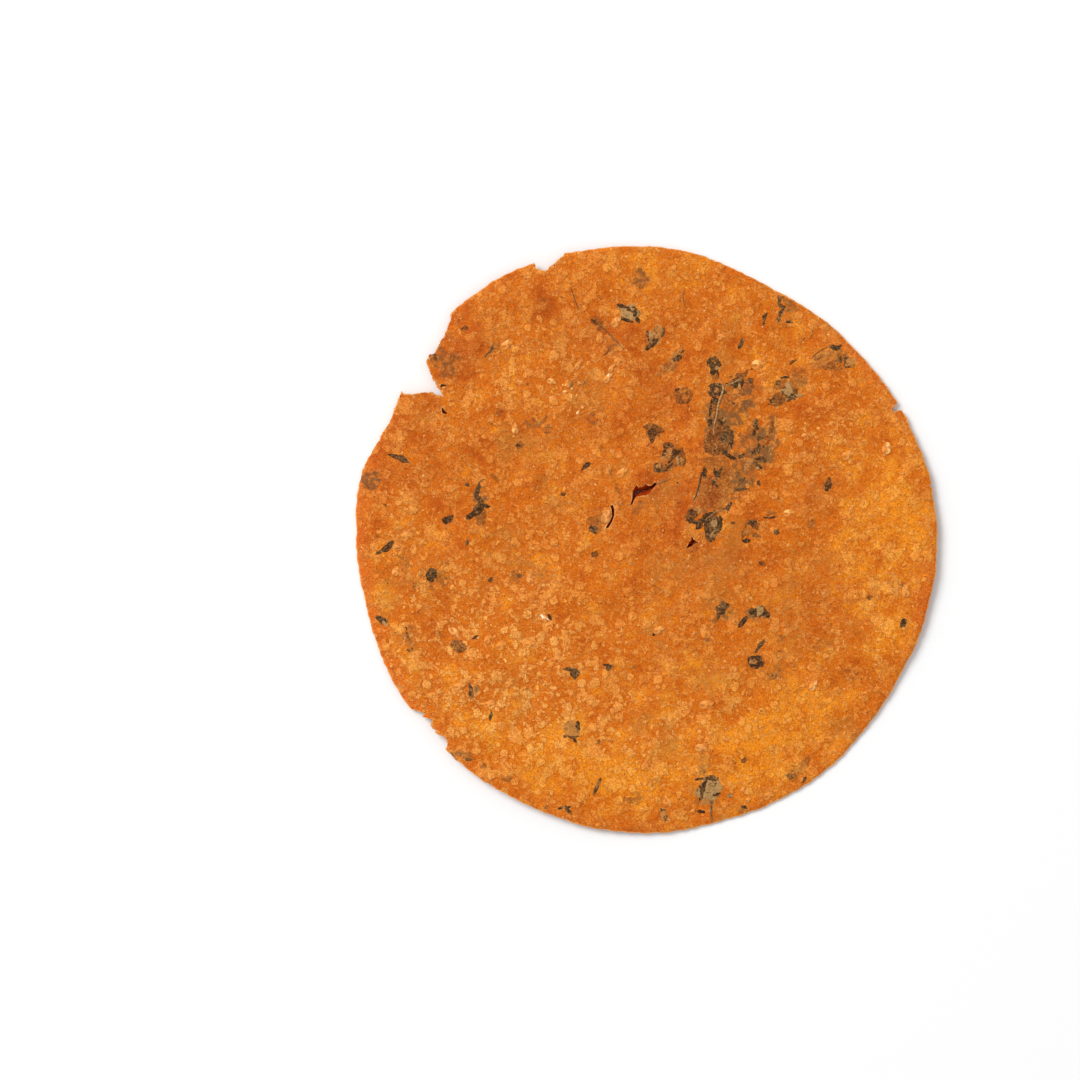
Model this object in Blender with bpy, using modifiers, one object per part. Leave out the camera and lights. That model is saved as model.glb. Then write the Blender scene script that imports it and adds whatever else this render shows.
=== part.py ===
"""Khakhra: one thin, crisp, roasted round of flatbread with sesame seeds and flakes of fenugreek leaf.

The bread is one solid. A round sheet is warped like a bread that cooled off the griddle, thickened
unevenly, topped with seeds and leaf, and broken at its rim where pieces have chipped away.
Units are metres, +Z is up, the origin is under the middle of the bread on the surface it lies on.
"""

import math
import random

import bmesh
import bpy
from mathutils import Matrix, Vector, noise
from mathutils.bvhtree import BVHTree

NAME = "khakhra"
MM = 0.001

# The round.
BASE_RADIUS = 69.9 * MM
CELLS_ACROSS = 43
RIM_RAGGEDNESS = 0.22 * MM
RIM_RAG_LENGTH = 7.0 * MM
RIM_LAYER = 3.7
# Where the rolled rim swells out or falls in: direction and spread in degrees, reach outwards.
RIM_SWELLS = (
    (44.0, 16.0, -1.9 * MM),
    (65.0, 8.0, -1.5 * MM),
    (122.0, 19.0, 2.2 * MM),
    (170.0, 7.0, 0.4 * MM),
    (193.0, 10.0, -0.6 * MM),
    (268.0, 10.0, 0.7 * MM),
    (304.0, 8.0, 0.6 * MM),
    (329.0, 10.0, -0.6 * MM),
)

# The thickness of the baked dough: thinner at the rolled rim, uneven where it blistered.
THICKEST = 1.7 * MM
THINNEST = 0.7 * MM
MID_THICKNESS = 1.35 * MM
RIM_THICKNESS = 1.0 * MM
RIM_BAND = 9.0 * MM
BLISTER_HEIGHT = 0.42 * MM
BLISTER_LENGTH = 9.5 * MM
BLISTER_LAYER = 2.1
FINE_BLISTER_HEIGHT = 0.24 * MM
FINE_BLISTER_LENGTH = 6.2 * MM
FINE_BLISTER_LAYER = 8.1
RIM_BLISTER_SHARE = 0.35
UNDERSIDE_BLISTER_HEIGHT = 0.5 * MM
UNDERSIDE_BLISTER_LENGTH = 8.5 * MM
UNDERSIDE_LAYER = 10.6

# The warp: a low dome that lies on three flat spots of its rim.
DOME_HEIGHT = 2.5 * MM
RIM_WAVE = 1.9 * MM
WAVES = 3
FOOT_DIRECTION = math.radians(300.0)
WARP_HEIGHT = 1.6 * MM
WARP_LENGTH = 58.0 * MM
WARP_LAYER = 0.2
RIM_FADE = 4
FOOT_DEPTH = 0.35 * MM

# Sesame seeds, half sunk: place, length, width, and heading in degrees from +X.
SEED_THICKNESS = 1.0 * MM
SEED_TAPER = 0.45
SEED_RINGS = 4
SEED_SIDES = 6
SEED_SINK = 0.08 * MM
SEEDS = (
    (-9.5 * MM, 5.9 * MM, 4.3 * MM, 2.7 * MM, 65.0),
    (-7.6 * MM, 52.2 * MM, 3.2 * MM, 2.0 * MM, 45.0),
    (26.9 * MM, 41.9 * MM, 3.8 * MM, 2.6 * MM, 10.0),
    (57.7 * MM, 22.0 * MM, 3.0 * MM, 2.5 * MM, 80.0),
    (-33.7 * MM, 46.9 * MM, 3.5 * MM, 2.2 * MM, 35.0),
    (-23.2 * MM, 38.3 * MM, 3.5 * MM, 2.2 * MM, -10.0),
    (-31.6 * MM, 26.5 * MM, 3.1 * MM, 2.2 * MM, 90.0),
    (-5.8 * MM, 16.1 * MM, 3.4 * MM, 2.1 * MM, 40.0),
    (-44.9 * MM, -35.2 * MM, 3.4 * MM, 2.1 * MM, 20.0),
    (-28.0 * MM, -9.5 * MM, 2.8 * MM, 1.8 * MM, 120.0),
    (-60.4 * MM, -7.6 * MM, 2.9 * MM, 2.0 * MM, 75.0),
    (-46.2 * MM, -21.6 * MM, 3.2 * MM, 2.3 * MM, 0.0),
    (3.0 * MM, -21.7 * MM, 3.1 * MM, 2.0 * MM, 25.0),
    (13.8 * MM, -22.9 * MM, 3.0 * MM, 2.3 * MM, 100.0),
    (34.2 * MM, 6.4 * MM, 3.2 * MM, 2.0 * MM, 15.0),
    (39.7 * MM, -35.2 * MM, 2.8 * MM, 1.9 * MM, 60.0),
    (13.1 * MM, -50.0 * MM, 3.1 * MM, 2.2 * MM, 5.0),
    (62.3 * MM, -12.4 * MM, 3.0 * MM, 2.4 * MM, 95.0),
    (-24.4 * MM, -18.8 * MM, 3.0 * MM, 1.9 * MM, 110.0),
    (-9.2 * MM, 38.8 * MM, 3.3 * MM, 1.8 * MM, 50.0),
    (48.4 * MM, 20.3 * MM, 3.5 * MM, 2.4 * MM, 30.0),
)

# Flakes of fenugreek leaf pressed into the top: place, length, width, and heading in degrees from +X.
LEAF_CORNERS = 7
LEAF_THICKNESS = 0.6 * MM
LEAF_PROUD = 0.2 * MM
LEAF_RAGGEDNESS = 0.22
LEAF_SEED = 11
LEAVES = (
    (-4.0 * MM, 54.4 * MM, 5.0 * MM, 4.6 * MM, 20.0),
    (2.6 * MM, 48.4 * MM, 3.6 * MM, 4.4 * MM, 0.0),
    (5.8 * MM, 42.2 * MM, 4.9 * MM, 2.1 * MM, 40.0),
    (5.6 * MM, 19.8 * MM, 6.2 * MM, 5.6 * MM, 60.0),
    (26.4 * MM, 20.8 * MM, 6.4 * MM, 5.0 * MM, 70.0),
    (14.6 * MM, 9.6 * MM, 7.4 * MM, 6.0 * MM, 75.0),
    (24.8 * MM, 1.8 * MM, 5.3 * MM, 3.8 * MM, 80.0),
    (34.4 * MM, 35.2 * MM, 7.2 * MM, 6.0 * MM, 25.0),
    (43.6 * MM, 43.4 * MM, 6.8 * MM, 5.4 * MM, 165.0),
    (-48.6 * MM, 43.2 * MM, 6.0 * MM, 3.4 * MM, 5.0),
    (-40.2 * MM, 6.8 * MM, 7.2 * MM, 4.6 * MM, 95.0),
    (15.0 * MM, -58.9 * MM, 8.2 * MM, 5.6 * MM, 85.0),
    (26.8 * MM, -17.4 * MM, 4.8 * MM, 3.4 * MM, 15.0),
    (-17.4 * MM, -32.0 * MM, 3.2 * MM, 3.0 * MM, 0.0),
    (-57.0 * MM, -23.6 * MM, 4.8 * MM, 3.0 * MM, 80.0),
    (-51.2 * MM, -8.5 * MM, 3.4 * MM, 3.0 * MM, 0.0),
    (-17.4 * MM, -45.5 * MM, 3.4 * MM, 3.4 * MM, 0.0),
    (35.2 * MM, -56.4 * MM, 3.4 * MM, 3.0 * MM, 70.0),
)

# The leaf stalk that lies across the upper part of the round.
STALK_RADIUS = 0.4 * MM
STALK_RUN = ((18.5 * MM, 37.2 * MM), (18.3 * MM, 33.6 * MM), (17.4 * MM, 29.4 * MM), (16.2 * MM, 25.0 * MM))

# Where the bread is broken through. Each outline runs past the rim, or is a hole in the round.
# The points are in millimetres from the middle.
CUT_DEPTH = 20.0 * MM
WELD_REACH = 0.001 * MM
CHIP = (
    (-46.0, 56.4), (-46.6, 55.1), (-47.8, 50.3), (-50.8, 44.9), (-52.8, 43.1), (-52.2, 40.7),
    (-50.8, 37.7), (-48.6, 34.4), (-52.0, 35.3), (-58.0, 34.9), (-58.9, 35.3), (-61.2, 29.4),
    (-62.8, 26.3), (-66.0, 21.2), (-68.6, 16.4), (-80.0, 16.0), (-80.0, 60.0), (-50.0, 62.0),
)
TORN_BITE = (
    (-57.9, -39.3), (-57.0, -40.7), (-55.4, -41.0), (-53.2, -42.0), (-53.7, -42.7), (-51.5, -43.0),
    (-51.8, -44.7), (-50.3, -45.9), (-50.7, -46.5), (-48.3, -47.6), (-47.6, -49.0), (-48.6, -50.8),
    (-56.0, -56.0), (-64.0, -42.0),
)
RIGHT_NICK = ((60.4, 33.4), (59.0, 31.2), (59.7, 30.7), (61.4, 31.0), (66.0, 32.0), (64.0, 36.0))
TOP_NICK = ((-26.6, 65.0), (-24.2, 64.5), (-23.4, 65.1), (-19.6, 68.6), (-21.0, 72.0), (-28.0, 70.0))
LONG_CRACK = (
    (-4.2, 7.9), (-3.3, 9.9), (-3.2, 11.5), (-2.2, 12.7), (-1.4, 12.1), (0.1, 13.1), (0.8, 12.7),
    (2.1, 13.6), (2.4, 13.3), (1.0, 11.9), (0.2, 11.0), (-0.9, 10.7), (-2.0, 10.8), (-2.8, 10.1),
)
SEED_CRACK = (
    (-8.5, 8.1), (-8.0, 6.6), (-8.1, 5.0), (-9.0, 3.7), (-9.7, 2.7), (-9.3, 2.8), (-8.5, 3.5),
    (-7.5, 4.9), (-7.4, 6.6), (-8.1, 8.1),
)
STAR_HOLE = (
    (10.9, 1.1), (11.2, 0.0), (12.5, -0.7), (11.6, -1.1), (10.9, -1.7), (9.5, -2.2), (10.0, -0.9),
    (10.6, -0.2),
)
NOTCH_HOLE = ((-49.0, 31.8), (-48.5, 31.0), (-47.7, 30.4), (-47.9, 30.0), (-49.0, 30.3), (-49.2, 31.1))
CUTS = {
    "chip": CHIP,
    "torn_bite": TORN_BITE,
    "right_nick": RIGHT_NICK,
    "top_nick": TOP_NICK,
    "long_crack": LONG_CRACK,
    "seed_crack": SEED_CRACK,
    "star_hole": STAR_HOLE,
    "notch_hole": NOTCH_HOLE,
}

DOUGH_COLOUR = (0.66, 0.19, 0.035, 1.0)
DOUGH_ROUGHNESS = 0.62


def clear_scene():
    """Remove every object of the startup file."""
    for thing in list(bpy.data.objects):
        bpy.data.objects.remove(thing, do_unlink=True)


def new_collection(name):
    """A collection under the scene's own."""
    group = bpy.data.collections.new(name)
    bpy.context.scene.collection.children.link(group)
    return group


def put_in(thing, group):
    """Move an object from wherever the operator left it into one collection."""
    for holder in list(thing.users_collection):
        holder.objects.unlink(thing)
    group.objects.link(thing)


def turn_between(angle, direction):
    """Smallest turn from one direction to another, in degrees."""
    return (angle - direction + 180.0) % 360.0 - 180.0


def wander(x, y, length, layer):
    """Smooth chance swell from about -0.5 to 0.5, with bumps about one length apart; each layer differs."""
    return noise.noise(Vector((x / length, y / length, layer)))


def rim_radius(angle):
    """Reach of the rim in a direction, given in radians."""
    degrees = math.degrees(angle)
    reach = BASE_RADIUS
    for direction, spread, swell in RIM_SWELLS:
        reach += swell * math.exp(-0.5 * (turn_between(degrees, direction) / spread) ** 2)
    rag = wander(BASE_RADIUS * math.cos(angle), BASE_RADIUS * math.sin(angle), RIM_RAG_LENGTH, RIM_LAYER)
    return reach + RIM_RAGGEDNESS * rag


def square_to_round(u, v):
    """Map a point of the square from -1 to 1 to the round without crowding its corners."""
    if u == 0.0 and v == 0.0:
        return 0.0, 0.0
    if abs(u) > abs(v):
        share, angle = abs(u), math.pi / 4.0 * v / u
        if u < 0.0:
            angle += math.pi
    else:
        share, angle = abs(v), math.pi / 2.0 - math.pi / 4.0 * u / v
        if v < 0.0:
            angle += math.pi
    reach = share * rim_radius(angle)
    return reach * math.cos(angle), reach * math.sin(angle)


def lift(x, y):
    """Height of the underside over the surface that the bread lies on."""
    angle = math.atan2(y, x)
    share = math.hypot(x, y) / BASE_RADIUS
    dome = DOME_HEIGHT * (1.0 - share ** 2)
    wave = RIM_WAVE * 0.5 * (1.0 - math.cos(WAVES * (angle - FOOT_DIRECTION))) * share ** 2
    warp = WARP_HEIGHT * wander(x, y, WARP_LENGTH, WARP_LAYER)
    blister = UNDERSIDE_BLISTER_HEIGHT * wander(x, y, UNDERSIDE_BLISTER_LENGTH, UNDERSIDE_LAYER)
    return max(0.0, dome + wave + (warp + blister) * (1.0 - share ** RIM_FADE) - FOOT_DEPTH)


def thickness(x, y):
    """Thickness of the dough: a thin rolled rim, and blisters all over."""
    rim_gap = max(0.0, rim_radius(math.atan2(y, x)) - math.hypot(x, y))
    share = min(1.0, rim_gap / RIM_BAND)
    body = RIM_THICKNESS + (MID_THICKNESS - RIM_THICKNESS) * math.sin(share * math.pi / 2.0)
    swell = BLISTER_HEIGHT * wander(x, y, BLISTER_LENGTH, BLISTER_LAYER)
    swell += FINE_BLISTER_HEIGHT * wander(x, y, FINE_BLISTER_LENGTH, FINE_BLISTER_LAYER)
    swell *= RIM_BLISTER_SHARE + (1.0 - RIM_BLISTER_SHARE) * share
    return min(THICKEST, max(THINNEST, body + swell))


def make_dough(group):
    """The round sheet of dough, thickened upwards from its underside."""
    bpy.ops.mesh.primitive_grid_add(x_subdivisions=CELLS_ACROSS, y_subdivisions=CELLS_ACROSS, size=2.0)
    dough = bpy.context.object
    dough.name = NAME
    dough.data.name = NAME
    put_in(dough, group)
    weights = dough.vertex_groups.new(name="thickness")
    for vertex in dough.data.vertices:
        x, y = square_to_round(vertex.co.x, vertex.co.y)
        vertex.co = (x, y, lift(x, y))
        weights.add([vertex.index], thickness(x, y) / THICKEST, "REPLACE")
    shell = dough.modifiers.new("thickness", "SOLIDIFY")
    shell.thickness = THICKEST
    shell.offset = 1.0
    shell.vertex_group = weights.name
    bake(dough)
    return dough


def bake(thing):
    """Turn an object's modifiers into its mesh."""
    view = bpy.context.evaluated_depsgraph_get()
    baked = bpy.data.meshes.new_from_object(thing.evaluated_get(view))
    thing.modifiers.clear()
    thing.vertex_groups.clear()
    spare = thing.data
    thing.data = baked
    bpy.data.meshes.remove(spare)
    baked.name = thing.name


def mesh_tree(thing):
    """Search tree of an object's faces, to find its top under a place."""
    view = bpy.context.evaluated_depsgraph_get()
    return BVHTree.FromObject(thing, view)


def top_at(tree, x, y):
    """Point and normal of the dough's top at a place."""
    point, normal, _face, _reach = tree.ray_cast(Vector((x, y, CUT_DEPTH)), Vector((0.0, 0.0, -1.0)))
    return point, normal


def seed_mesh():
    """A sesame seed of unit size: a flat drop, blunt at one end."""
    mesh = bpy.data.meshes.new("seed")
    shape = bmesh.new()
    bmesh.ops.create_uvsphere(shape, u_segments=SEED_SIDES, v_segments=SEED_RINGS, radius=0.5)
    for vertex in shape.verts:
        vertex.co.y *= 1.0 - SEED_TAPER * (vertex.co.x + 0.5)
    shape.to_mesh(mesh)
    shape.free()
    return mesh


def add_seeds(tree, group):
    """Lay every seed on the top, tilted with it and half sunk."""
    shared = seed_mesh()
    for count, (x, y, length, width, heading) in enumerate(SEEDS):
        point, normal = top_at(tree, x, y)
        seed = bpy.data.objects.new(f"seed_{count:02d}", shared)
        tilt = Vector((0.0, 0.0, 1.0)).rotation_difference(normal).to_matrix().to_4x4()
        turn = Matrix.Rotation(math.radians(heading), 4, "Z")
        size = Matrix.Diagonal((length, width, SEED_THICKNESS, 1.0))
        seed.matrix_world = Matrix.Translation(point - normal * SEED_SINK) @ tilt @ turn @ size
        group.objects.link(seed)


def add_leaf(tree, group, name, draw, place):
    """One ragged flake of leaf that follows the top."""
    x, y, length, width, heading = place
    mesh = bpy.data.meshes.new(name)
    shape = bmesh.new()
    bmesh.ops.create_circle(shape, cap_ends=True, cap_tris=True, segments=LEAF_CORNERS, radius=0.5)
    turn = Matrix.Rotation(math.radians(heading), 2)
    for vertex in shape.verts:
        rag = 1.0 + draw.uniform(-LEAF_RAGGEDNESS, LEAF_RAGGEDNESS)
        spot = turn @ Vector((vertex.co.x * length * rag, vertex.co.y * width * rag))
        point, _normal = top_at(tree, x + spot.x, y + spot.y)
        vertex.co = (x + spot.x, y + spot.y, point.z + LEAF_PROUD)
    shape.to_mesh(mesh)
    shape.free()
    leaf = bpy.data.objects.new(name, mesh)
    group.objects.link(leaf)
    shell = leaf.modifiers.new("thickness", "SOLIDIFY")
    shell.thickness = LEAF_THICKNESS
    shell.offset = -1.0


def add_leaves(tree, group):
    """Every flake of leaf, each with its own ragged outline."""
    draw = random.Random(LEAF_SEED)
    for count, place in enumerate(LEAVES):
        add_leaf(tree, group, f"leaf_{count:02d}", draw, place)


def mesh_from_curve(curve_object, group):
    """Replace a curve object with a closed mesh of the same form."""
    view = bpy.context.evaluated_depsgraph_get()
    mesh = bpy.data.meshes.new_from_object(curve_object.evaluated_get(view))
    shape = bmesh.new()
    shape.from_mesh(mesh)
    bmesh.ops.remove_doubles(shape, verts=shape.verts, dist=WELD_REACH)
    bmesh.ops.recalc_face_normals(shape, faces=shape.faces)
    shape.to_mesh(mesh)
    shape.free()
    name = curve_object.name
    solid = bpy.data.objects.new(name + "_solid", mesh)
    solid.matrix_world = curve_object.matrix_world
    group.objects.link(solid)
    bpy.data.objects.remove(curve_object, do_unlink=True)
    solid.name = name
    return solid


def add_stalk(tree, group):
    """The thin stalk, half sunk in the top."""
    path = bpy.data.curves.new("stalk", "CURVE")
    path.dimensions = "3D"
    path.bevel_depth = STALK_RADIUS
    path.bevel_resolution = 0
    path.use_fill_caps = True
    line = path.splines.new("POLY")
    line.points.add(len(STALK_RUN) - 1)
    for knot, (x, y) in zip(line.points, STALK_RUN):
        point, _normal = top_at(tree, x, y)
        knot.co = (x, y, point.z, 1.0)
    stalk = bpy.data.objects.new("stalk", path)
    group.objects.link(stalk)
    mesh_from_curve(stalk, group)


def join_toppings(dough, toppings):
    """Fuse everything that lies on the dough to it, as one solid."""
    union = dough.modifiers.new("toppings", "BOOLEAN")
    union.operation = "UNION"
    union.operand_type = "COLLECTION"
    union.collection = toppings
    union.solver = "EXACT"
    bake(dough)
    for topping in list(toppings.objects):
        bpy.data.objects.remove(topping, do_unlink=True)
    bpy.data.collections.remove(toppings)


def add_cut(name, outline, group):
    """A cutter of one outline, given in millimetres, that goes right through the bread."""
    flat = bpy.data.curves.new(name, "CURVE")
    flat.dimensions = "2D"
    flat.fill_mode = "BOTH"
    flat.extrude = CUT_DEPTH / 2.0
    edge = flat.splines.new("POLY")
    edge.points.add(len(outline) - 1)
    edge.use_cyclic_u = True
    for corner, (x, y) in zip(edge.points, outline):
        corner.co = (x * MM, y * MM, 0.0, 1.0)
    drawn = bpy.data.objects.new(name, flat)
    group.objects.link(drawn)
    cutter = mesh_from_curve(drawn, group)
    cutter.hide_render = True
    cutter.display_type = "WIRE"


def break_rim(dough, cutters):
    """Chips, the torn bite, cracks and holes, all cut right through."""
    for name, outline in CUTS.items():
        add_cut(name, outline, cutters)
    cut = dough.modifiers.new("breaks", "BOOLEAN")
    cut.operation = "DIFFERENCE"
    cut.operand_type = "COLLECTION"
    cut.collection = cutters
    cut.solver = "EXACT"


def dough_material():
    """Roasted wheat dough, turmeric and chilli orange."""
    paint = bpy.data.materials.new("roasted_dough")
    paint.use_nodes = True
    shader = paint.node_tree.nodes["Principled BSDF"]
    shader.inputs["Base Color"].default_value = DOUGH_COLOUR
    shader.inputs["Roughness"].default_value = DOUGH_ROUGHNESS
    shader.inputs["Metallic"].default_value = 0.0
    return paint


def main():
    """Build the bread."""
    clear_scene()
    part = new_collection(NAME)
    toppings = new_collection("toppings")
    cutters = new_collection("cutters")
    dough = make_dough(part)
    tree = mesh_tree(dough)
    add_seeds(tree, toppings)
    add_leaves(tree, toppings)
    add_stalk(tree, toppings)
    join_toppings(dough, toppings)
    break_rim(dough, cutters)
    dough.data.materials.clear()
    dough.data.materials.append(dough_material())


main()
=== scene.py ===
"""Looks of one khakhra: a thin, crisp, roasted round of flatbread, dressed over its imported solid.

The dough starts as a slab in unit space, is laid on the form of the bread, blistered, and broken where
pieces have chipped away. Sesame seeds, flakes of fenugreek leaf and leaf stalks are meshes of their
own, at true size, pressed into the top. Lengths are metres, and patterns count in millimetres.
"""

import logging
import math
from dataclasses import dataclass, field
from enum import Enum

import bmesh
import bpy
import numpy as np
from mathutils import Matrix, Vector, noise
from mathutils.bvhtree import BVHTree
from mathutils.geometry import intersect_point_line


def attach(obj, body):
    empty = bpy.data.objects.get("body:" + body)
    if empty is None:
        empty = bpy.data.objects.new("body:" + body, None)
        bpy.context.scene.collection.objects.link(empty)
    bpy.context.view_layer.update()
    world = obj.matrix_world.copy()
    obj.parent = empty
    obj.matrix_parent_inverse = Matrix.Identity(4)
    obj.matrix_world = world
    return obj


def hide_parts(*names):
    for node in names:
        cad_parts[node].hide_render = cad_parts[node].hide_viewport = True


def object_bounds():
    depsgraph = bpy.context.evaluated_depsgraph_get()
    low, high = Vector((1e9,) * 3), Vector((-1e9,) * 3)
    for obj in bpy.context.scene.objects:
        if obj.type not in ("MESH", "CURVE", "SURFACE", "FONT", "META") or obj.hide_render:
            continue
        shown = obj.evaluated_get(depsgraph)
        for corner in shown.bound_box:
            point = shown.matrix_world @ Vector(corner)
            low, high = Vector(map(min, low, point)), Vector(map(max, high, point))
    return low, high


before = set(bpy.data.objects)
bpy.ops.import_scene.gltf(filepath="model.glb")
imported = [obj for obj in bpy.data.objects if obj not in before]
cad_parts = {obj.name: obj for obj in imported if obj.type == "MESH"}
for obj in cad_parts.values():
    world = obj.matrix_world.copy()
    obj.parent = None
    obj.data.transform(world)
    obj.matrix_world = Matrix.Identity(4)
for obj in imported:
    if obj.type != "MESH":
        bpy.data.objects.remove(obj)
CAD_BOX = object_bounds()

LOG = logging.getLogger("khakhra")
MM = 0.001
BODY = "root"
NODE = "khakhra"
CEILING = CAD_BOX[1][2] + 0.09 * MM

Point = tuple[float, float]
Colour = tuple[float, float, float, float]
Socket = bpy.types.NodeSocket


def wander(x: float, y: float, length: float, layer: float) -> float:
    """Smooth chance swell from about -0.5 to 0.5, with bumps one length apart, another for each layer."""
    return noise.noise(Vector((x / length, y / length, layer)))


def soft_step(low: float, high: float, value: np.ndarray) -> np.ndarray:
    """Ease from 0 at low to 1 at high, for a whole array of values."""
    share = np.clip((value - low) / (high - low), 0.0, 1.0)
    return share * share * (3.0 - 2.0 * share)


def each(kind: type, *rows: tuple) -> tuple:
    """One thing of a kind from each row of its values."""
    return tuple(kind(*row) for row in rows)


@dataclass(frozen=True)
class RimSwell:
    """Where the rolled rim swells out or falls in: direction and spread in degrees, reach in metres."""

    direction: float
    spread: float
    reach: float


@dataclass(frozen=True)
class BreadForm:
    """The form of the round, by the same rules and sizes as its solid."""

    base_radius: float = 69.9 * MM
    raggedness: float = 0.22 * MM
    rag_length: float = 7.0 * MM
    rag_layer: float = 3.7
    swells: tuple[RimSwell, ...] = each(
        RimSwell,
        (44, 16, -1.9 * MM), (65, 8, -1.5 * MM), (122, 19, 2.2 * MM), (170, 7, 0.4 * MM),
        (193, 10, -0.6 * MM), (268, 10, 0.7 * MM), (304, 8, 0.6 * MM), (329, 10, -0.6 * MM),
    )
    thickest: float = 1.7 * MM
    thinnest: float = 0.7 * MM
    mid_thickness: float = 1.35 * MM
    rim_thickness: float = 1.0 * MM
    rim_band: float = 9.0 * MM
    blister_height: float = 0.42 * MM
    blister_length: float = 9.5 * MM
    blister_layer: float = 2.1
    fine_blister_height: float = 0.24 * MM
    fine_blister_length: float = 6.2 * MM
    fine_blister_layer: float = 8.1
    rim_blister_share: float = 0.35
    under_blister_height: float = 0.5 * MM
    under_blister_length: float = 8.5 * MM
    under_layer: float = 10.6
    dome_height: float = 2.5 * MM
    rim_wave: float = 1.9 * MM
    waves: int = 3
    foot_direction: float = math.radians(300.0)
    warp_height: float = 1.6 * MM
    warp_length: float = 58.0 * MM
    warp_layer: float = 0.2
    rim_fade: int = 4
    foot_depth: float = 0.35 * MM

    def rim_radius(self, angle: float) -> float:
        """Reach of the rim in a direction given in radians.

        Args:
            angle: The direction, in radians.

        Returns:
            Distance from the middle, in metres.
        """
        degrees = math.degrees(angle)
        reach = self.base_radius
        for swell in self.swells:
            turn = (degrees - swell.direction + 180.0) % 360.0 - 180.0
            reach += swell.reach * math.exp(-0.5 * (turn / swell.spread) ** 2)
        x = self.base_radius * math.cos(angle)
        y = self.base_radius * math.sin(angle)
        return reach + self.raggedness * wander(x, y, self.rag_length, self.rag_layer)

    def square_to_round(self, u: float, v: float) -> Point:
        """Map a point of the square from -1 to 1 to the round, without crowding its corners.

        Args:
            u: Place across the square.
            v: Place along the square.

        Returns:
            The place on the round, in metres.
        """
        if u == 0.0 and v == 0.0:
            return 0.0, 0.0
        if abs(u) > abs(v):
            share = abs(u)
            angle = math.pi / 4.0 * v / u + (math.pi if u < 0.0 else 0.0)
        else:
            share = abs(v)
            angle = math.pi / 2.0 - math.pi / 4.0 * u / v + (math.pi if v < 0.0 else 0.0)
        reach = share * self.rim_radius(angle)
        return reach * math.cos(angle), reach * math.sin(angle)

    def rim_gap(self, x: float, y: float) -> float:
        """Distance from a place in to the rim."""
        return max(0.0, self.rim_radius(math.atan2(y, x)) - math.hypot(x, y))

    def lift(self, x: float, y: float) -> float:
        """Height of the underside over the surface that the bread lies on.

        Args:
            x: Place across, in metres.
            y: Place along, in metres.

        Returns:
            The height, in metres.
        """
        angle = math.atan2(y, x)
        share = math.hypot(x, y) / self.base_radius
        dome = self.dome_height * (1.0 - share**2)
        ripple = 1.0 - math.cos(self.waves * (angle - self.foot_direction))
        wave = self.rim_wave * 0.5 * ripple * share**2
        warp = self.warp_height * wander(x, y, self.warp_length, self.warp_layer)
        blister = self.under_blister_height * wander(x, y, self.under_blister_length, self.under_layer)
        return max(0.0, dome + wave + (warp + blister) * (1.0 - share**self.rim_fade) - self.foot_depth)

    def thickness(self, x: float, y: float) -> float:
        """Thickness of the dough: a thin rolled rim, and blisters all over.

        Args:
            x: Place across, in metres.
            y: Place along, in metres.

        Returns:
            The thickness, in metres.
        """
        share = min(1.0, self.rim_gap(x, y) / self.rim_band)
        rise = (self.mid_thickness - self.rim_thickness) * math.sin(share * math.pi / 2.0)
        swell = self.blister_height * wander(x, y, self.blister_length, self.blister_layer)
        swell += self.fine_blister_height * wander(x, y, self.fine_blister_length, self.fine_blister_layer)
        swell *= self.rim_blister_share + (1.0 - self.rim_blister_share) * share
        return min(self.thickest, max(self.thinnest, self.rim_thickness + rise + swell))


FORM = BreadForm()


@dataclass(frozen=True)
class Patch:
    """A soft oval of the top: its middle, length and width in millimetres, heading in degrees, strength."""

    x: float
    y: float
    length: float
    width: float
    heading: float
    strength: float

    def reach(self, x: np.ndarray, y: np.ndarray) -> np.ndarray:
        """How far places lie from the middle, where 1 is the oval's edge.

        Args:
            x: Places across, in millimetres.
            y: Places along, in millimetres.

        Returns:
            One value for each place.
        """
        turn = math.radians(self.heading)
        across = (x - self.x) * math.cos(turn) + (y - self.y) * math.sin(turn)
        along = (y - self.y) * math.cos(turn) - (x - self.x) * math.sin(turn)
        return np.hypot(2.0 * across / self.length, 2.0 * along / self.width)


@dataclass(frozen=True)
class RimTone:
    """Where the rim is redder: direction and spread in degrees, strength from 0 to 1."""

    direction: float
    spread: float
    strength: float


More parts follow.
